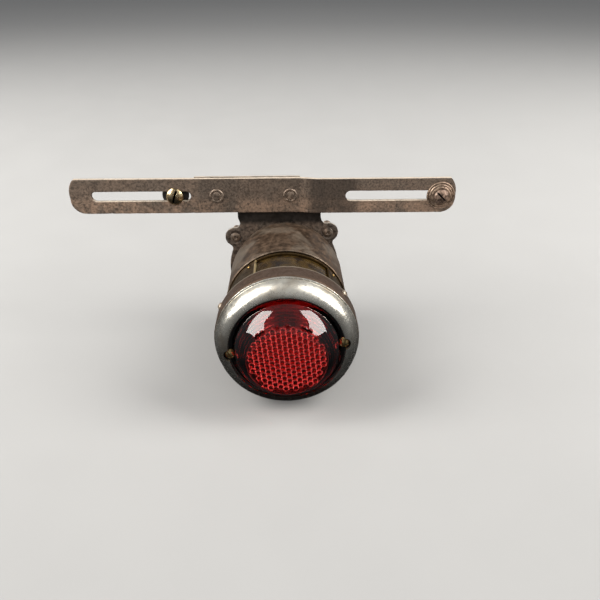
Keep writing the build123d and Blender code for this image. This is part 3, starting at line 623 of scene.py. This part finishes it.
def skirt_material():
    """Band where the plating is thin: brown-grey, with a painted highlight along its back edge."""
    s = Surface("skirt_chrome_worn", Metallic=0.95)
    mottle = s.noise(3.0, 6, 0.7, 0.3)
    fine = s.noise(0.4, 4, 0.7)
    lines = s.noise(5.0, 3, 0.6, 0, s.stretched(0.12, 10.0, 0.12))
    # painted highlight: a thin near-white line along the band's back edge
    back = s.spread(s.axis("Y"), -0.0940, -0.0934)
    colour = s.mix(s.spread(mottle, 0.35, 0.68), srgb(136, 114, 98), srgb(104, 84, 70))
    colour = s.mix(back, colour, srgb(214, 200, 178))
    colour = s.mix(s.spread(fine, 0.62, 0.72, 0, 0.5), colour, srgb(52, 40, 34))
    s.set("Base Color", colour)
    s.set("Roughness", s.spread(mottle, 0.3, 0.75, 0.30, 0.50))
    s.bump((lines, 0.02), (mottle, 0.03), (fine, 0.015))
    return s.material


def glass_red():
    """Lens glass, with a thin uneven film of dirt."""
    s = Surface("lens_red_glass", Base_Color=(0.70, 0.055, 0.050, 1), IOR=1.5, Transmission_Weight=1.0)
    grime_and_painted_shade = s.noise(1.8, 6, 0.75, 0.3)
    wave = s.noise(9, 3, 0.5)
    s.set("Roughness", s.spread(grime_and_painted_shade, 0.45, 0.8, 0.0, 0.05))
    s.bump((wave, 0.01))
    return s.material


def amber():
    """Aged celluloid: amber with brown blotches, slightly cloudy."""
    s = Surface("window_amber_worn", IOR=1.5)
    blotch = s.noise(9, 5, 0.6, 0.8)
    fine = s.noise(0.8, 5, 0.7)
    colour = s.mix(s.spread(blotch, 0.34, 0.62), srgb(86, 66, 31), srgb(36, 25, 15))
    s.set("Base Color", colour)
    s.set("Transmission Weight", 0.55)
    s.set("Roughness", s.spread(fine, 0.3, 0.8, 0.16, 0.34))
    s.bump((blotch, 0.10), (fine, 0.02))
    return s.material


def rubber():
    """Old black rubber, slightly uneven in tone."""
    s = Surface("rubber_black_worn")
    mottle = s.noise(3, 5, 0.6)
    fine = s.noise(0.3, 4, 0.7)
    s.set("Base Color", s.mix(s.spread(mottle, 0.3, 0.7), srgb(24, 22, 21), srgb(46, 43, 40)))
    s.set("Roughness", s.spread(mottle, 0.3, 0.7, 0.62, 0.82))
    s.bump((mottle, 0.05), (fine, 0.04))
    return s.material


def silvering():
    s = Surface("reflector_silver_worn", Metallic=1.0)
    mottle = s.noise(5, 6, 0.65, 0.4)
    fine = s.noise(0.6, 4, 0.6)
    s.set("Base Color", s.mix(s.spread(mottle, 0.45, 0.75), srgb(226, 222, 212), srgb(160, 140, 112)))
    s.set("Roughness", s.spread(mottle, 0.3, 0.8, 0.25, 0.50))
    s.bump((mottle, 0.02), (fine, 0.006))
    return s.material


def fibre():
    s = Surface("insulator_fibre_worn")
    mottle = s.noise(1.5, 6, 0.7, 0, s.stretched(1, 6, 1))
    s.set("Base Color", s.mix(s.spread(mottle, 0.3, 0.7), srgb(122, 62, 40), srgb(84, 38, 26)))
    s.set("Roughness", s.spread(mottle, 0.3, 0.7, 0.5, 0.7))
    s.bump((mottle, 0.04))
    return s.material


def clear_glass():
    s = Surface("bulb_glass_clear", Base_Color=(0.97, 0.97, 0.96, 1), Transmission_Weight=1.0, IOR=1.45)
    haze = s.noise(6, 4, 0.6)
    s.set("Roughness", s.spread(haze, 0.4, 0.8, 0.0, 0.05))
    s.bump((haze, 0.01))
    return s.material


def floor_material():
    s = Surface("floor_paint")
    mottle = s.noise(60, 5, 0.6)
    fine = s.noise(1.5, 4, 0.6)
    s.set("Base Color", s.mix(s.spread(mottle, 0.3, 0.7), (0.315, 0.315, 0.312, 1), (0.323, 0.323, 0.320, 1)))
    s.set("Roughness", s.spread(mottle, 0.3, 0.7, 0.80, 0.90))
    s.bump((fine, 0.02))
    return s.material


def plain_steel(name, light, dark, rough=0.4):
    return rusty_steel(name, dark, light, srgb(124, 94, 72), 0.4, 0.6, rough).material


# ---------------------------------------------------------------- pieces

def make_bar():
    bar = worn_copy("number_plate_bar", 0.42, 3,
                    waves=((0.12, 38, 1), (0.04, 6, 2), (0.02, 2.2, 3)),
                    pits=((0.10, 1.7, 4), (0.12, 3.2, 5)))
    dress(bar, "number_plate_bar_worn", bar_material(), "number_plate_bar")


def make_bracket():
    bracket = worn_copy("mounting_bracket", 0.38, 3,
                        waves=((0.12, 30, 11), (0.04, 6, 12)), pits=((0.08, 2.0, 13),))
    p = coordinates(bracket)
    for x, z in ear_places():
        reach = np.hypot(p[:, 0] - x, p[:, 2] - z)
        front = p[:, 1] < -1.0
        # a raised ring round each stud, with a groove inside it
        lift = 0.30 * np.exp(-((reach - 5.6) / 0.9) ** 2) - 0.25 * np.exp(-((reach - 4.1) / 0.5) ** 2)
        p[:, 1] -= np.where(front, lift, 0)
    set_coordinates(bracket, p)
    dress(bracket, "mounting_bracket_worn", bracket_material(), "mounting_bracket")


def clamp_screw(node, material, thread_from, slot_tilt, slot_half_width, head_r, head_h, waves, pits=()):
    """Screw in the bar with a threaded shank and painted shade in its slot. Gives back the X of its middle."""
    low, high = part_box(node)
    x = (low.x + high.x) / 2 / MM
    screw = worn_copy(node, 0.12, 2, waves, pits)
    slim(screw, x, BAR_Z, CLAMP_SHANK_R, THREAD_SLACK)
    thread(screw, x, BAR_Z, CLAMP_SHANK_R - THREAD_SLACK, thread_from, high.y / MM - 0.2, 0.8, 0.30)
    slot_painted_shade(screw, x, BAR_Z, slot_tilt, slot_half_width, low.y / MM, head_r, head_h)
    dress(screw, node + "_worn", material, node)
    return x


def make_fasteners(steel, small_brass, shiny_brass, rusty):
    """Rivets, studs, screws, washers and nuts. The cup washer's face has raised and sunk rings."""
    rivets = worn_copy("bar_rivets", 0.16, 3, waves=((0.05, 1.6, 21),))
    dress(rivets, "bar_rivets_worn", steel["rivet"], "bar_rivets")
    studs = worn_copy("ear_studs", 0.15, 2, waves=((0.03, 1.5, 22),))
    for x, z in ear_places():
        thread(studs, x, z, 3.0, 1.2, 15.6, 1.0, 0.45)
    dress(studs, "ear_studs_threaded", steel["stud"], "ear_studs")
    lens_screws = worn_copy("lens_screws", 0.10, 2, waves=((0.03, 1.0, 23),))
    for x, z in lens_screw_places():
        thread(lens_screws, x, z, 1.5, -109.0, -103.6, 0.6, 0.25)
    dress(lens_screws, "lens_screws_worn", small_brass, "lens_screws")
    bezel_screws = worn_copy("bezel_screws", 0.10, 2, waves=((0.03, 1.0, 24),))
    dress(bezel_screws, "bezel_screws_worn", steel["bright"], "bezel_screws")
    clamp_screw("left_plate_screw", shiny_brass, 2.2, math.radians(19), 0.75, 6.1, 3.0, waves=((0.04, 2.0, 25),))
    x = clamp_screw("right_plate_screw", rusty, 0.0, math.radians(-45), 0.65, 5.2, 2.6,
                    waves=((0.06, 1.6, 26),), pits=((0.08, 1.0, 27),))
    cup = worn_copy("right_cup_washer", 0.14, 2, waves=((0.05, 2.4, 28),), pits=((0.06, 1.2, 29),))
    p = coordinates(cup)
    reach = np.hypot(p[:, 0] - x, p[:, 2] - BAR_Z)
    front = p[:, 1] < p[:, 1].max() - 0.5
    for radius, width, height in ((9.5, 0.35, 0.40), (8.75, 0.3, -0.22), (7.9, 0.35, 0.28), (7.0, 0.4, -0.12)):
        p[:, 1] -= front * height * np.exp(-((reach - radius) / width) ** 2)
    set_coordinates(cup, p)
    dress(cup, "right_cup_washer_worn", steel["cup"], "right_cup_washer")
    washer = worn_copy("left_plate_washer", 0.16, 2, waves=((0.05, 3.0, 30),))
    dress(washer, "left_plate_washer_worn", rubber(), "left_plate_washer")
    for node in ("left_plate_nut", "right_plate_nut"):
        nut = worn_copy(node, 0.12, 2, waves=((0.04, 1.4, 31),))
        dress(nut, node + "_worn", steel["nut"], node)


def dent(d, a, angle, depth, width, reach, amount):
    """How far one shallow dent pushes a turned wall in, at depths d and angles a."""
    turn = (a - angle + math.pi) % TAU - math.pi
    return amount * np.exp(-(turn * 41 / width) ** 2 - ((d - depth) / reach) ** 2)


def make_body():
    section, ring = sheet_section(
        [(0, 2), (35.1, 2), (38.6, 7), (41, 20), (41, 60.0), (41.15, 60.6), (41.15, 61.4)], 1.2, 2.4)

    def shape(r, d, a):
        p = turned(r, d, a)
        wall = np.clip((r - 36) / 3, 0, 1)
        r = r + wall * 0.10 * (value_noise(p, 26, 41) - 0.6) + wall * 0.03 * (value_noise(p, 7, 42) - 0.5)
        r = r - wall * dent(d, a, math.radians(70), 40, 7, 9, 0.35)
        r = r - wall * dent(d, a, math.radians(128), 28, 5, 6, 0.30)
        r = r - wall * dent(d, a, math.radians(215), 45, 8, 6, 0.40)
        return r, d

    body = lathe("lamp_body_shell", section, ring, 360, shape)
    tool = lathe("tool", [(0, -48), (5.2, -48), (5.2, -34), (0, -34)], False, 64)
    tool.data.transform(Matrix.Translation((0, -CABLE_DEPTH * MM, 0)) @ Matrix.Rotation(-math.pi / 2, 4, "X"))
    boolean(body, tool)
    dress(body, "lamp_body_shell", body_material(), "lamp_body")


def make_drum(material):
    section, ring = sheet_section(
        [(39.7, 50), (39.7, 92.4), (43.4, 93.8), (43.4, 99.6), (40.2, 100.8), (40.2, 109.5), (31, 109.5)],
        0.9, 1.0, 0.8)

    def shape(r, d, a):
        off = np.abs((a - WINDOW_MIDDLE + math.pi) % TAU - math.pi)
        along = np.clip((d - 62.5) / 1.5, 0, 1) * np.clip((91.5 - d) / 1.5, 0, 1)
        lip = np.exp(-((off - WINDOW_HALF_ANGLE - 0.018) / 0.016) ** 2)
        ends = np.exp(-((d - WINDOW_DEPTHS[0] + 0.8) / 0.7) ** 2)
        ends = ends + np.exp(-((d - WINDOW_DEPTHS[1] - 0.8) / 0.7) ** 2)
        ends *= np.clip((WINDOW_HALF_ANGLE + 0.03 - off) / 0.03, 0, 1)
        wave = 0.05 * value_noise(turned(r, d, a), 12, 51)
        return r + 0.40 * np.clip(lip * along + ends, 0, 1) + wave * (r > 36), d

    drum = lathe("window_drum_shell", section, ring, 720, shape)
    turns = np.linspace(WINDOW_MIDDLE - WINDOW_HALF_ANGLE, WINDOW_MIDDLE + WINDOW_HALF_ANGLE, 65)
    verts, faces = [], []
    for t in turns:
        for radius, depth in ((36, WINDOW_DEPTHS[0]), (42.5, WINDOW_DEPTHS[0]), (42.5, WINDOW_DEPTHS[1]),
                              (36, WINDOW_DEPTHS[1])):
            verts.append((radius * math.cos(t), -depth, radius * math.sin(t)))
    for k in range(len(turns) - 1):
        faces += [[4 * k + j, 4 * k + (j + 1) % 4, 4 * k + 4 + (j + 1) % 4, 4 * k + 4 + j] for j in range(4)]
    faces += [[0, 1, 2, 3], [4 * len(turns) - 1 - j for j in range(4)]]
    tool = mesh_piece("tool", verts, faces)
    outward(tool)
    boolean(drum, tool)
    # painted highlight: a near-white strip along the window's raised edge, for the brass material
    p = coordinates(drum)
    turn = np.arctan2(p[:, 2], p[:, 0]) - WINDOW_MIDDLE - WINDOW_HALF_ANGLE
    depth = -p[:, 1]
    bright = (turn > -0.004) & (turn < 0.030) & (depth > WINDOW_DEPTHS[0] - 1) & (depth < WINDOW_DEPTHS[1] + 1)
    mark(drum, "painted_highlight", bright.astype(float))
    dress(drum, "window_drum_shell", material, "window_drum")


def curved_sheet(name, radius, thickness, half_angle, depths, wave):
    """Closed sheet bent round the lamp's axis, centred on the window."""
    turns = np.linspace(WINDOW_MIDDLE - half_angle, WINDOW_MIDDLE + half_angle, 121)
    ds = np.linspace(depths[0], depths[1], 41)
    t, d = np.meshgrid(turns, ds, indexing="ij")
    p = np.stack([np.cos(t) * radius, -d, np.sin(t) * radius], -1)
    bend = wave * value_noise(p, 11, 61)
    layers = []
    for r in (radius, radius - thickness):
        rr = r + bend
        layers.append(np.stack([np.cos(t) * rr, -d, np.sin(t) * rr], -1).reshape(-1, 3))
    rows, columns = t.shape
    count = rows * columns
    faces = []
    for i in range(rows - 1):
        for j in range(columns - 1):
            q = [i * columns + j, i * columns + j + 1, (i + 1) * columns + j + 1, (i + 1) * columns + j]
            faces.append(q)
            faces.append([count + k for k in q[::-1]])
    rim = [i * columns for i in range(rows)] + [(rows - 1) * columns + j for j in range(1, columns)]
    rim += [i * columns + columns - 1 for i in range(rows - 2, -1, -1)] + [j for j in range(columns - 2, 0, -1)]
    for a, b in zip(rim, rim[1:] + rim[:1]):
        faces.append([a, b, count + b, count + a])
    obj = mesh_piece(name, np.concatenate(layers), faces)
    outward(obj)
    return obj


def make_window():
    window = curved_sheet("plate_window_sheet", 38.45, 0.65, math.radians(42), (61.9, 91.3), 0.08)
    dress(window, "plate_window_sheet", amber(), "plate_window")


def make_bezel():
    skirt_line = [(44.0, 92.5), (44.45, 92.5), (44.7, 92.9), (44.7, 104.2), (44.4, 104.9), (43.75, 105.0),
                  (43.7, 104.6), (43.7, 93.0)]
    skirt = lathe("bezel_skirt_band", resampled(np.array(skirt_line + skirt_line[:1]), 0.8)[:-1], True, 400,
                  lambda r, d, a: (r - 0.03 - 0.03 * value_noise(turned(r, d, a), 9, 71), d))
    dress(skirt, "bezel_skirt_band", skirt_material(), "bezel_skirt")
    crown_r, crown_depth = 35.6, 105.2
    lip = [(44.1, 105.05), (44.25, 105.5), (44.2, 106.1), (43.9, 106.4), (43.3, 106.5)]
    turns = np.linspace(0.16, math.pi / 2, 40)
    quarter = lip + [(crown_r + 7.95 * math.cos(t), crown_depth + 10.8 * math.sin(t)) for t in turns]
    hollow = [(crown_r + 1 + 5.9 * math.cos(t), crown_depth + 9.8 * math.sin(t))
              for t in np.linspace(math.pi / 2, 0, 30)]
    section = quarter + [(35.45, 115.7), (35.5, 115.0), (35.6, 114.45), (36.6, 114.45), (36.6, 114.8)] + hollow
    section += [(42.5, 103), (42.5, 100.9), (43.6, 100.9), (43.6, 103), (43.6, 104.95)]

    def shape(r, d, a):
        p = turned(r, d, a)
        face = np.clip((d - 105.5) / 2, 0, 1)
        push = face * (0.08 * value_noise(p, 16, 72) + 0.02 * value_noise(p, 5, 73) - 0.08)
        push = push - face * dent(d, a, math.radians(140), 111, 4, 3, 0.25)
        push = push - face * dent(d, a, math.radians(48), 112, 3, 2, 0.18)
        return r + push, d

    bezel = lathe("bezel_ring_plated", section, True, 480, shape)
    for x, z in lens_screw_places():
        boolean(bezel, rod(x, z, LENS_NOTCH_R, LENS_BACK, 117))
    dress(bezel, "bezel_ring_plated", chrome_material(), "bezel_ring")


# (radius, depth) of the glass, from the flange to the axis
GLASS_OUTSIDE = [(33.2, 113.2), (32.7, 116.0), (31.2, 119.3), (28.9, 122.9), (26.2, 126.2), (23.9, 128.6),
                 (21.8, 129.85), (19.5, 130.25), (12, 130.55), (0, 130.7)]
GLASS_INSIDE = [(29.8, 110.5), (29.5, 114.2), (28.3, 118.4), (26.5, 122.4), (24.9, 125.6), (23.6, 127.5),
                (22.6, 128.15), (21.0, 128.2), (12, 128.2), (0, 128.2)]
PRISM_COLUMN = 2.95     # between columns of prisms
PRISM_ROW = 3.8         # between prisms in one column
PRISM_DISC_R = 22.6
PRISM_LIFT = 2.3        # the disc of prisms sits a little above the lamp's axis


def curve(points, per_span):
    """Smooth line through points."""
    p = np.array([points[0], *points, points[-1]], float)
    out = []
    for a, b, c, d in zip(p, p[1:], p[2:], p[3:]):
        for t in np.arange(per_span) / per_span:
            out.append(0.5 * (2 * b + (c - a) * t + (2 * a - 5 * b + 4 * c - d) * t ** 2
                              + (3 * b - 3 * c + d - a) * t ** 3))
    out.append(p[-1])
    return np.array(out)


def prism_block():
    """Moulded pillows on the inner side of the glass, six-sided cells in staggered columns."""
    across, along = PRISM_COLUMN / 1.5, PRISM_ROW / math.sqrt(3)
    # depth of the edges between pillows, depth inside the glass where the block ends, radius of a pillow, and how far
    # the pillow stops short of a full half ball
    valley, top, fall, bluntness = 128.1, 129.0, 2.4, 1.12
    foot = math.sqrt(1 - bluntness ** -2)
    index, verts, relief, lids = {}, [], [], []

    def vertex(x, z, depth, layer):
        key = (round(x, 3), round(z, 3), layer)
        if key not in index:
            index[key] = len(verts)
            c, s = math.cos(HEAD_ROLL), math.sin(HEAD_ROLL)
            verts.append((x * c - z * s, -(top if layer else depth), x * s + z * c + PRISM_LIFT))
        return index[key]

    def point(x, z, reach, k):
        turn = TAU * k / 12
        reach *= 1 if k % 2 == 0 else math.cos(math.pi / 6)
        rise = fall * (math.sqrt(1 - (reach / bluntness) ** 2) - foot)
        return (x + across * reach * math.cos(turn), z + along * reach * math.sin(turn), valley - rise)

    for column in range(-9, 10):
        for row in range(-9, 10):
            x = column * PRISM_COLUMN
            z = (row + (0.5 if column % 2 else 0)) * PRISM_ROW
            if math.hypot(x, z) > PRISM_DISC_R:
                continue
            rings = [[point(x, z, reach, k) for k in range(12)] for reach in (0.22, 0.44, 0.64, 0.80, 0.92, 1.0)]
            cell = [[point(x, z, 0, 0), rings[0][k], rings[0][(k + 1) % 12]] for k in range(12)]
            for inner, outer in zip(rings, rings[1:]):
                cell += [[inner[k], outer[k], outer[(k + 1) % 12], inner[(k + 1) % 12]] for k in range(12)]
            relief += [[vertex(*corner, 0) for corner in face] for face in cell]
            lids += [[vertex(*corner, 1) for corner in face][::-1] for face in cell]
    sides = {}
    for face in relief:
        for a, b in zip(face, face[1:] + face[:1]):
            if (b, a) in sides:
                del sides[(b, a)]
            else:
                sides[(a, b)] = True
    place = {i: key for key, i in index.items()}
    lid = {i: index[place[i][:2] + (1,)] for face in relief for i in face}
    walls = [[b, a, lid[a], lid[b]] for a, b in sides]
    block = mesh_piece("tool", verts, relief + lids + walls)
    outward(block)
    return block


def make_lens():
    """Red glass with a nearly flat front; ribs on the inner shoulder, and a disc of prisms inside."""
    outside = curve(GLASS_OUTSIDE, 12)
    inside = curve(GLASS_INSIDE, 20)
    along = np.gradient(inside, axis=0)
    along /= np.linalg.norm(along, axis=1)[:, None]
    reach = np.concatenate([[0], np.cumsum(np.linalg.norm(np.diff(inside, axis=0), axis=1))])
    zone = np.clip((inside[:, 1] - 115.5) / 1.0, 0, 1) * np.clip((inside[:, 0] - 23.3) / 0.6, 0, 1)
    ribs = 0.05 * zone * np.cos(TAU * reach / 2.4)
    inside = inside + np.stack([-along[:, 1], along[:, 0]], 1) * ribs[:, None]
    rim = [(38.3, LENS_BACK), (38.4, LENS_BACK + 0.2), (38.4, LENS_FLANGE_FRONT - 0.3),
           (38.2, LENS_FLANGE_FRONT), (33.6, LENS_FLANGE_FRONT)]
    section = [*inside[::-1], *rim, *outside]
    glass = lathe("lens_glass", section, False, 360)
    boolean(glass, prism_block(), "UNION")
    for x, z in lens_screw_places():
        boolean(glass, rod(x, z, LENS_NOTCH_R, LENS_FLANGE_FRONT, 132))
        boolean(glass, rod(x, z, 2.0, LENS_BACK - 1, LENS_FLANGE_FRONT + 1))
    dress(glass, "lens_glass", glass_red(), "lens")


def make_spring():
    """Contact spring: wire swept along a helix with flat ends."""
    turns, radius, wire = 3.4, 4.8, 0.32
    back, front = 45.5 + wire, 49.85 - wire
    steps, sides = 220, 12
    t = np.linspace(0, 1, steps)
    climb = np.clip((t - 0.16) / 0.68, 0, 1)
    centre = np.stack([radius * np.cos(TAU * turns * t), -(back + (front - back) * climb),
                       radius * np.sin(TAU * turns * t)], 1)
    along = np.gradient(centre, axis=0)
    along /= np.linalg.norm(along, axis=1)[:, None]
    side = centre * np.array([1, 0, 1])
    side /= np.linalg.norm(side, axis=1)[:, None]
    up = np.cross(along, side)
    turn = np.linspace(0, TAU, sides, endpoint=False)
    verts = centre[:, None] + wire * (np.cos(turn)[None, :, None] * side[:, None]
                                      + np.sin(turn)[None, :, None] * up[:, None])
    faces = grid_faces(steps, sides, False)
    faces += [list(range(sides)), list(range((steps - 1) * sides, steps * sides))[::-1]]
    spring = mesh_piece("contact_spring_coil", verts.reshape(-1, 3), faces)
    outward(spring)
    return spring


brass_drum = brass("drum_brass_worn", srgb(112, 90, 54), srgb(62, 48, 30), 0.36, 5.0)
brass_small = brass("lens_screw_brass_worn", srgb(206, 184, 132), srgb(124, 104, 66), 0.24, 1.2)
brass_shiny = brass("plate_screw_brass_worn", srgb(204, 186, 150), srgb(104, 86, 58), 0.26, 1.3)
brass_inner = brass("socket_brass_worn", srgb(196, 164, 98), srgb(140, 110, 62), 0.34, 2.0)
steels = {
    "rivet": plain_steel("rivet_steel_worn", srgb(136, 120, 106), srgb(78, 67, 58)),
    "stud": plain_steel("stud_steel_worn", srgb(122, 110, 98), srgb(62, 54, 47)),
    "bright": plain_steel("bezel_screw_worn", srgb(176, 166, 150), srgb(96, 84, 72), 0.30),
    "cup": plain_steel("cup_washer_worn", srgb(150, 130, 112), srgb(82, 65, 53), 0.36),
    "nut": plain_steel("nut_steel_worn", srgb(128, 118, 106), srgb(66, 58, 50)),
}
rust_screw = plain_steel("plate_screw_rusty", srgb(134, 114, 100), srgb(60, 48, 41), 0.42)

make_bar()
make_bracket()
make_fasteners(steels, brass_small, brass_shiny, rust_screw)
make_body()
make_drum(brass_drum)
make_window()
make_bezel()
make_lens()
coil = make_spring()
spring_wire = brass("spring_steel_worn", srgb(190, 190, 188), srgb(130, 126, 120), 0.25, 1.0)
dress(coil, "contact_spring_coil", spring_wire, "contact_spring")
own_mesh(coil)

black = rubber()
# CAD pieces that keep their own shape and only get a better material
carried = {
    "body_rivets": steels["rivet"], "cable_grommet": black, "window_frame": brass_drum, "window_rivets": brass_drum,
    "reflector": silvering(), "bulb_socket": brass_inner, "socket_rivets": brass_inner,
    "contact_insulator": fibre(), "contact_plunger": brass_inner, "terminal_nut": brass_inner,
    "bulb_base": brass_inner, "bulb_contact": plain_steel("solder_worn", srgb(170, 170, 166), srgb(120, 118, 112)),
    "bulb_glass": clear_glass(), "bulb_filament": spring_wire, "lens_seat_gasket": black,
    "lens_gasket": black, "lens_screw_nuts": brass_inner,
}
for node, material in carried.items():
    data = NODES[node].data
    data.materials.clear()
    data.materials.append(material)

# ---------------------------------------------------------------- stage, light and camera

corners = ((-1, -1), (1, -1), (1, 1), (-1, 1))
floor = mesh_piece("floor", [(9000 * x, 9000 * y, FLOOR_Z) for x, y in corners], [[0, 1, 2, 3]])
floor.data.materials.append(floor_material())
floor.visible_glossy = False    # so that glass and chrome show dark surroundings

scene = bpy.context.scene
scene.view_settings.view_transform = "Standard"
world = bpy.data.worlds.new("studio")
world.use_nodes = True
sky = world.node_tree
sky.nodes["Background"].inputs[0].default_value = (0.97, 0.98, 1.0, 1)
# dim below the horizon and brighter above it
direction = sky.nodes.new("ShaderNodeTexCoord")
parts = sky.nodes.new("ShaderNodeSeparateXYZ")
fade = sky.nodes.new("ShaderNodeMapRange")
for i, value in enumerate((-0.65, 0.40, 0.03, 0.38)):
    fade.inputs[i + 1].default_value = value
sky.links.new(direction.outputs["Generated"], parts.inputs[0])
sky.links.new(parts.outputs["Z"], fade.inputs[0])
sky.links.new(fade.outputs[0], sky.nodes["Background"].inputs[1])
scene.world = world


def panel(name, place, across, upward, width, height, radiance):
    """Soft rectangular light of a given radiance; it faces away from the cross product of across and upward."""
    x = Vector(across).normalized()
    z = x.cross(Vector(upward)).normalized()
    y = z.cross(x)
    data = bpy.data.lights.new(name, "AREA")
    data.shape = "RECTANGLE"
    data.size, data.size_y = width, height
    data.energy = radiance * math.pi * width * height
    data.color = (1.0, 0.97, 0.93)
    lamp = bpy.data.objects.new(name, data)
    lamp.matrix_world = Matrix.Translation(place) @ Matrix((x, y, z)).transposed().to_4x4()
    lamp.visible_camera = False
    scene.collection.objects.link(lamp)
    return lamp


# two tall softboxes either side of the lamp give the lens its two bright windows
for side in (-1, 1):
    panel("softbox_left" if side < 0 else "softbox_right", (side * 1.31, -0.15, 1.22),
          (0.852, side * 0.502, -side * 0.151), (side * 0.022, 0.253, 0.967), 1.0, 1.8, 12.5)
panel("softbox_behind", (0, 1.0, 1.55), (-1, 0, 0), (0, 0.84, -0.54), 2.4, 1.1, 7.0)
fill = panel("fill_front", (0, -1.5, 1.1), (1, 0, 0), (0, 0.6, 0.8), 2.0, 1.4, 1.7)
fill.visible_glossy = False

# the camera stands in front of the lamp and above it, looking down
CAMERA_AT = Vector((1.0, -402.7, 195.3))
SENSOR = 36.0
FOCAL = 0.96 * SENSOR
yaw, pitch, roll = math.radians(1.37), math.radians(29.30), math.radians(-0.06)
forward = Vector((math.sin(yaw) * math.cos(pitch), math.cos(yaw) * math.cos(pitch), -math.sin(pitch)))
right = Vector((math.cos(yaw), -math.sin(yaw), 0))
up = right.cross(forward)
right, up = right * math.cos(roll) + up * math.sin(roll), up * math.cos(roll) - right * math.sin(roll)
camera_data = bpy.data.cameras.new("camera")
camera_data.sensor_width = SENSOR
camera_data.lens = FOCAL
camera_data.clip_start = 0.01
camera = bpy.data.objects.new("camera", camera_data)
camera.matrix_world = Matrix.Translation(CAMERA_AT * MM) @ Matrix(
    (right, up, -forward)).transposed().to_4x4()
scene.collection.objects.link(camera)
scene.camera = camera
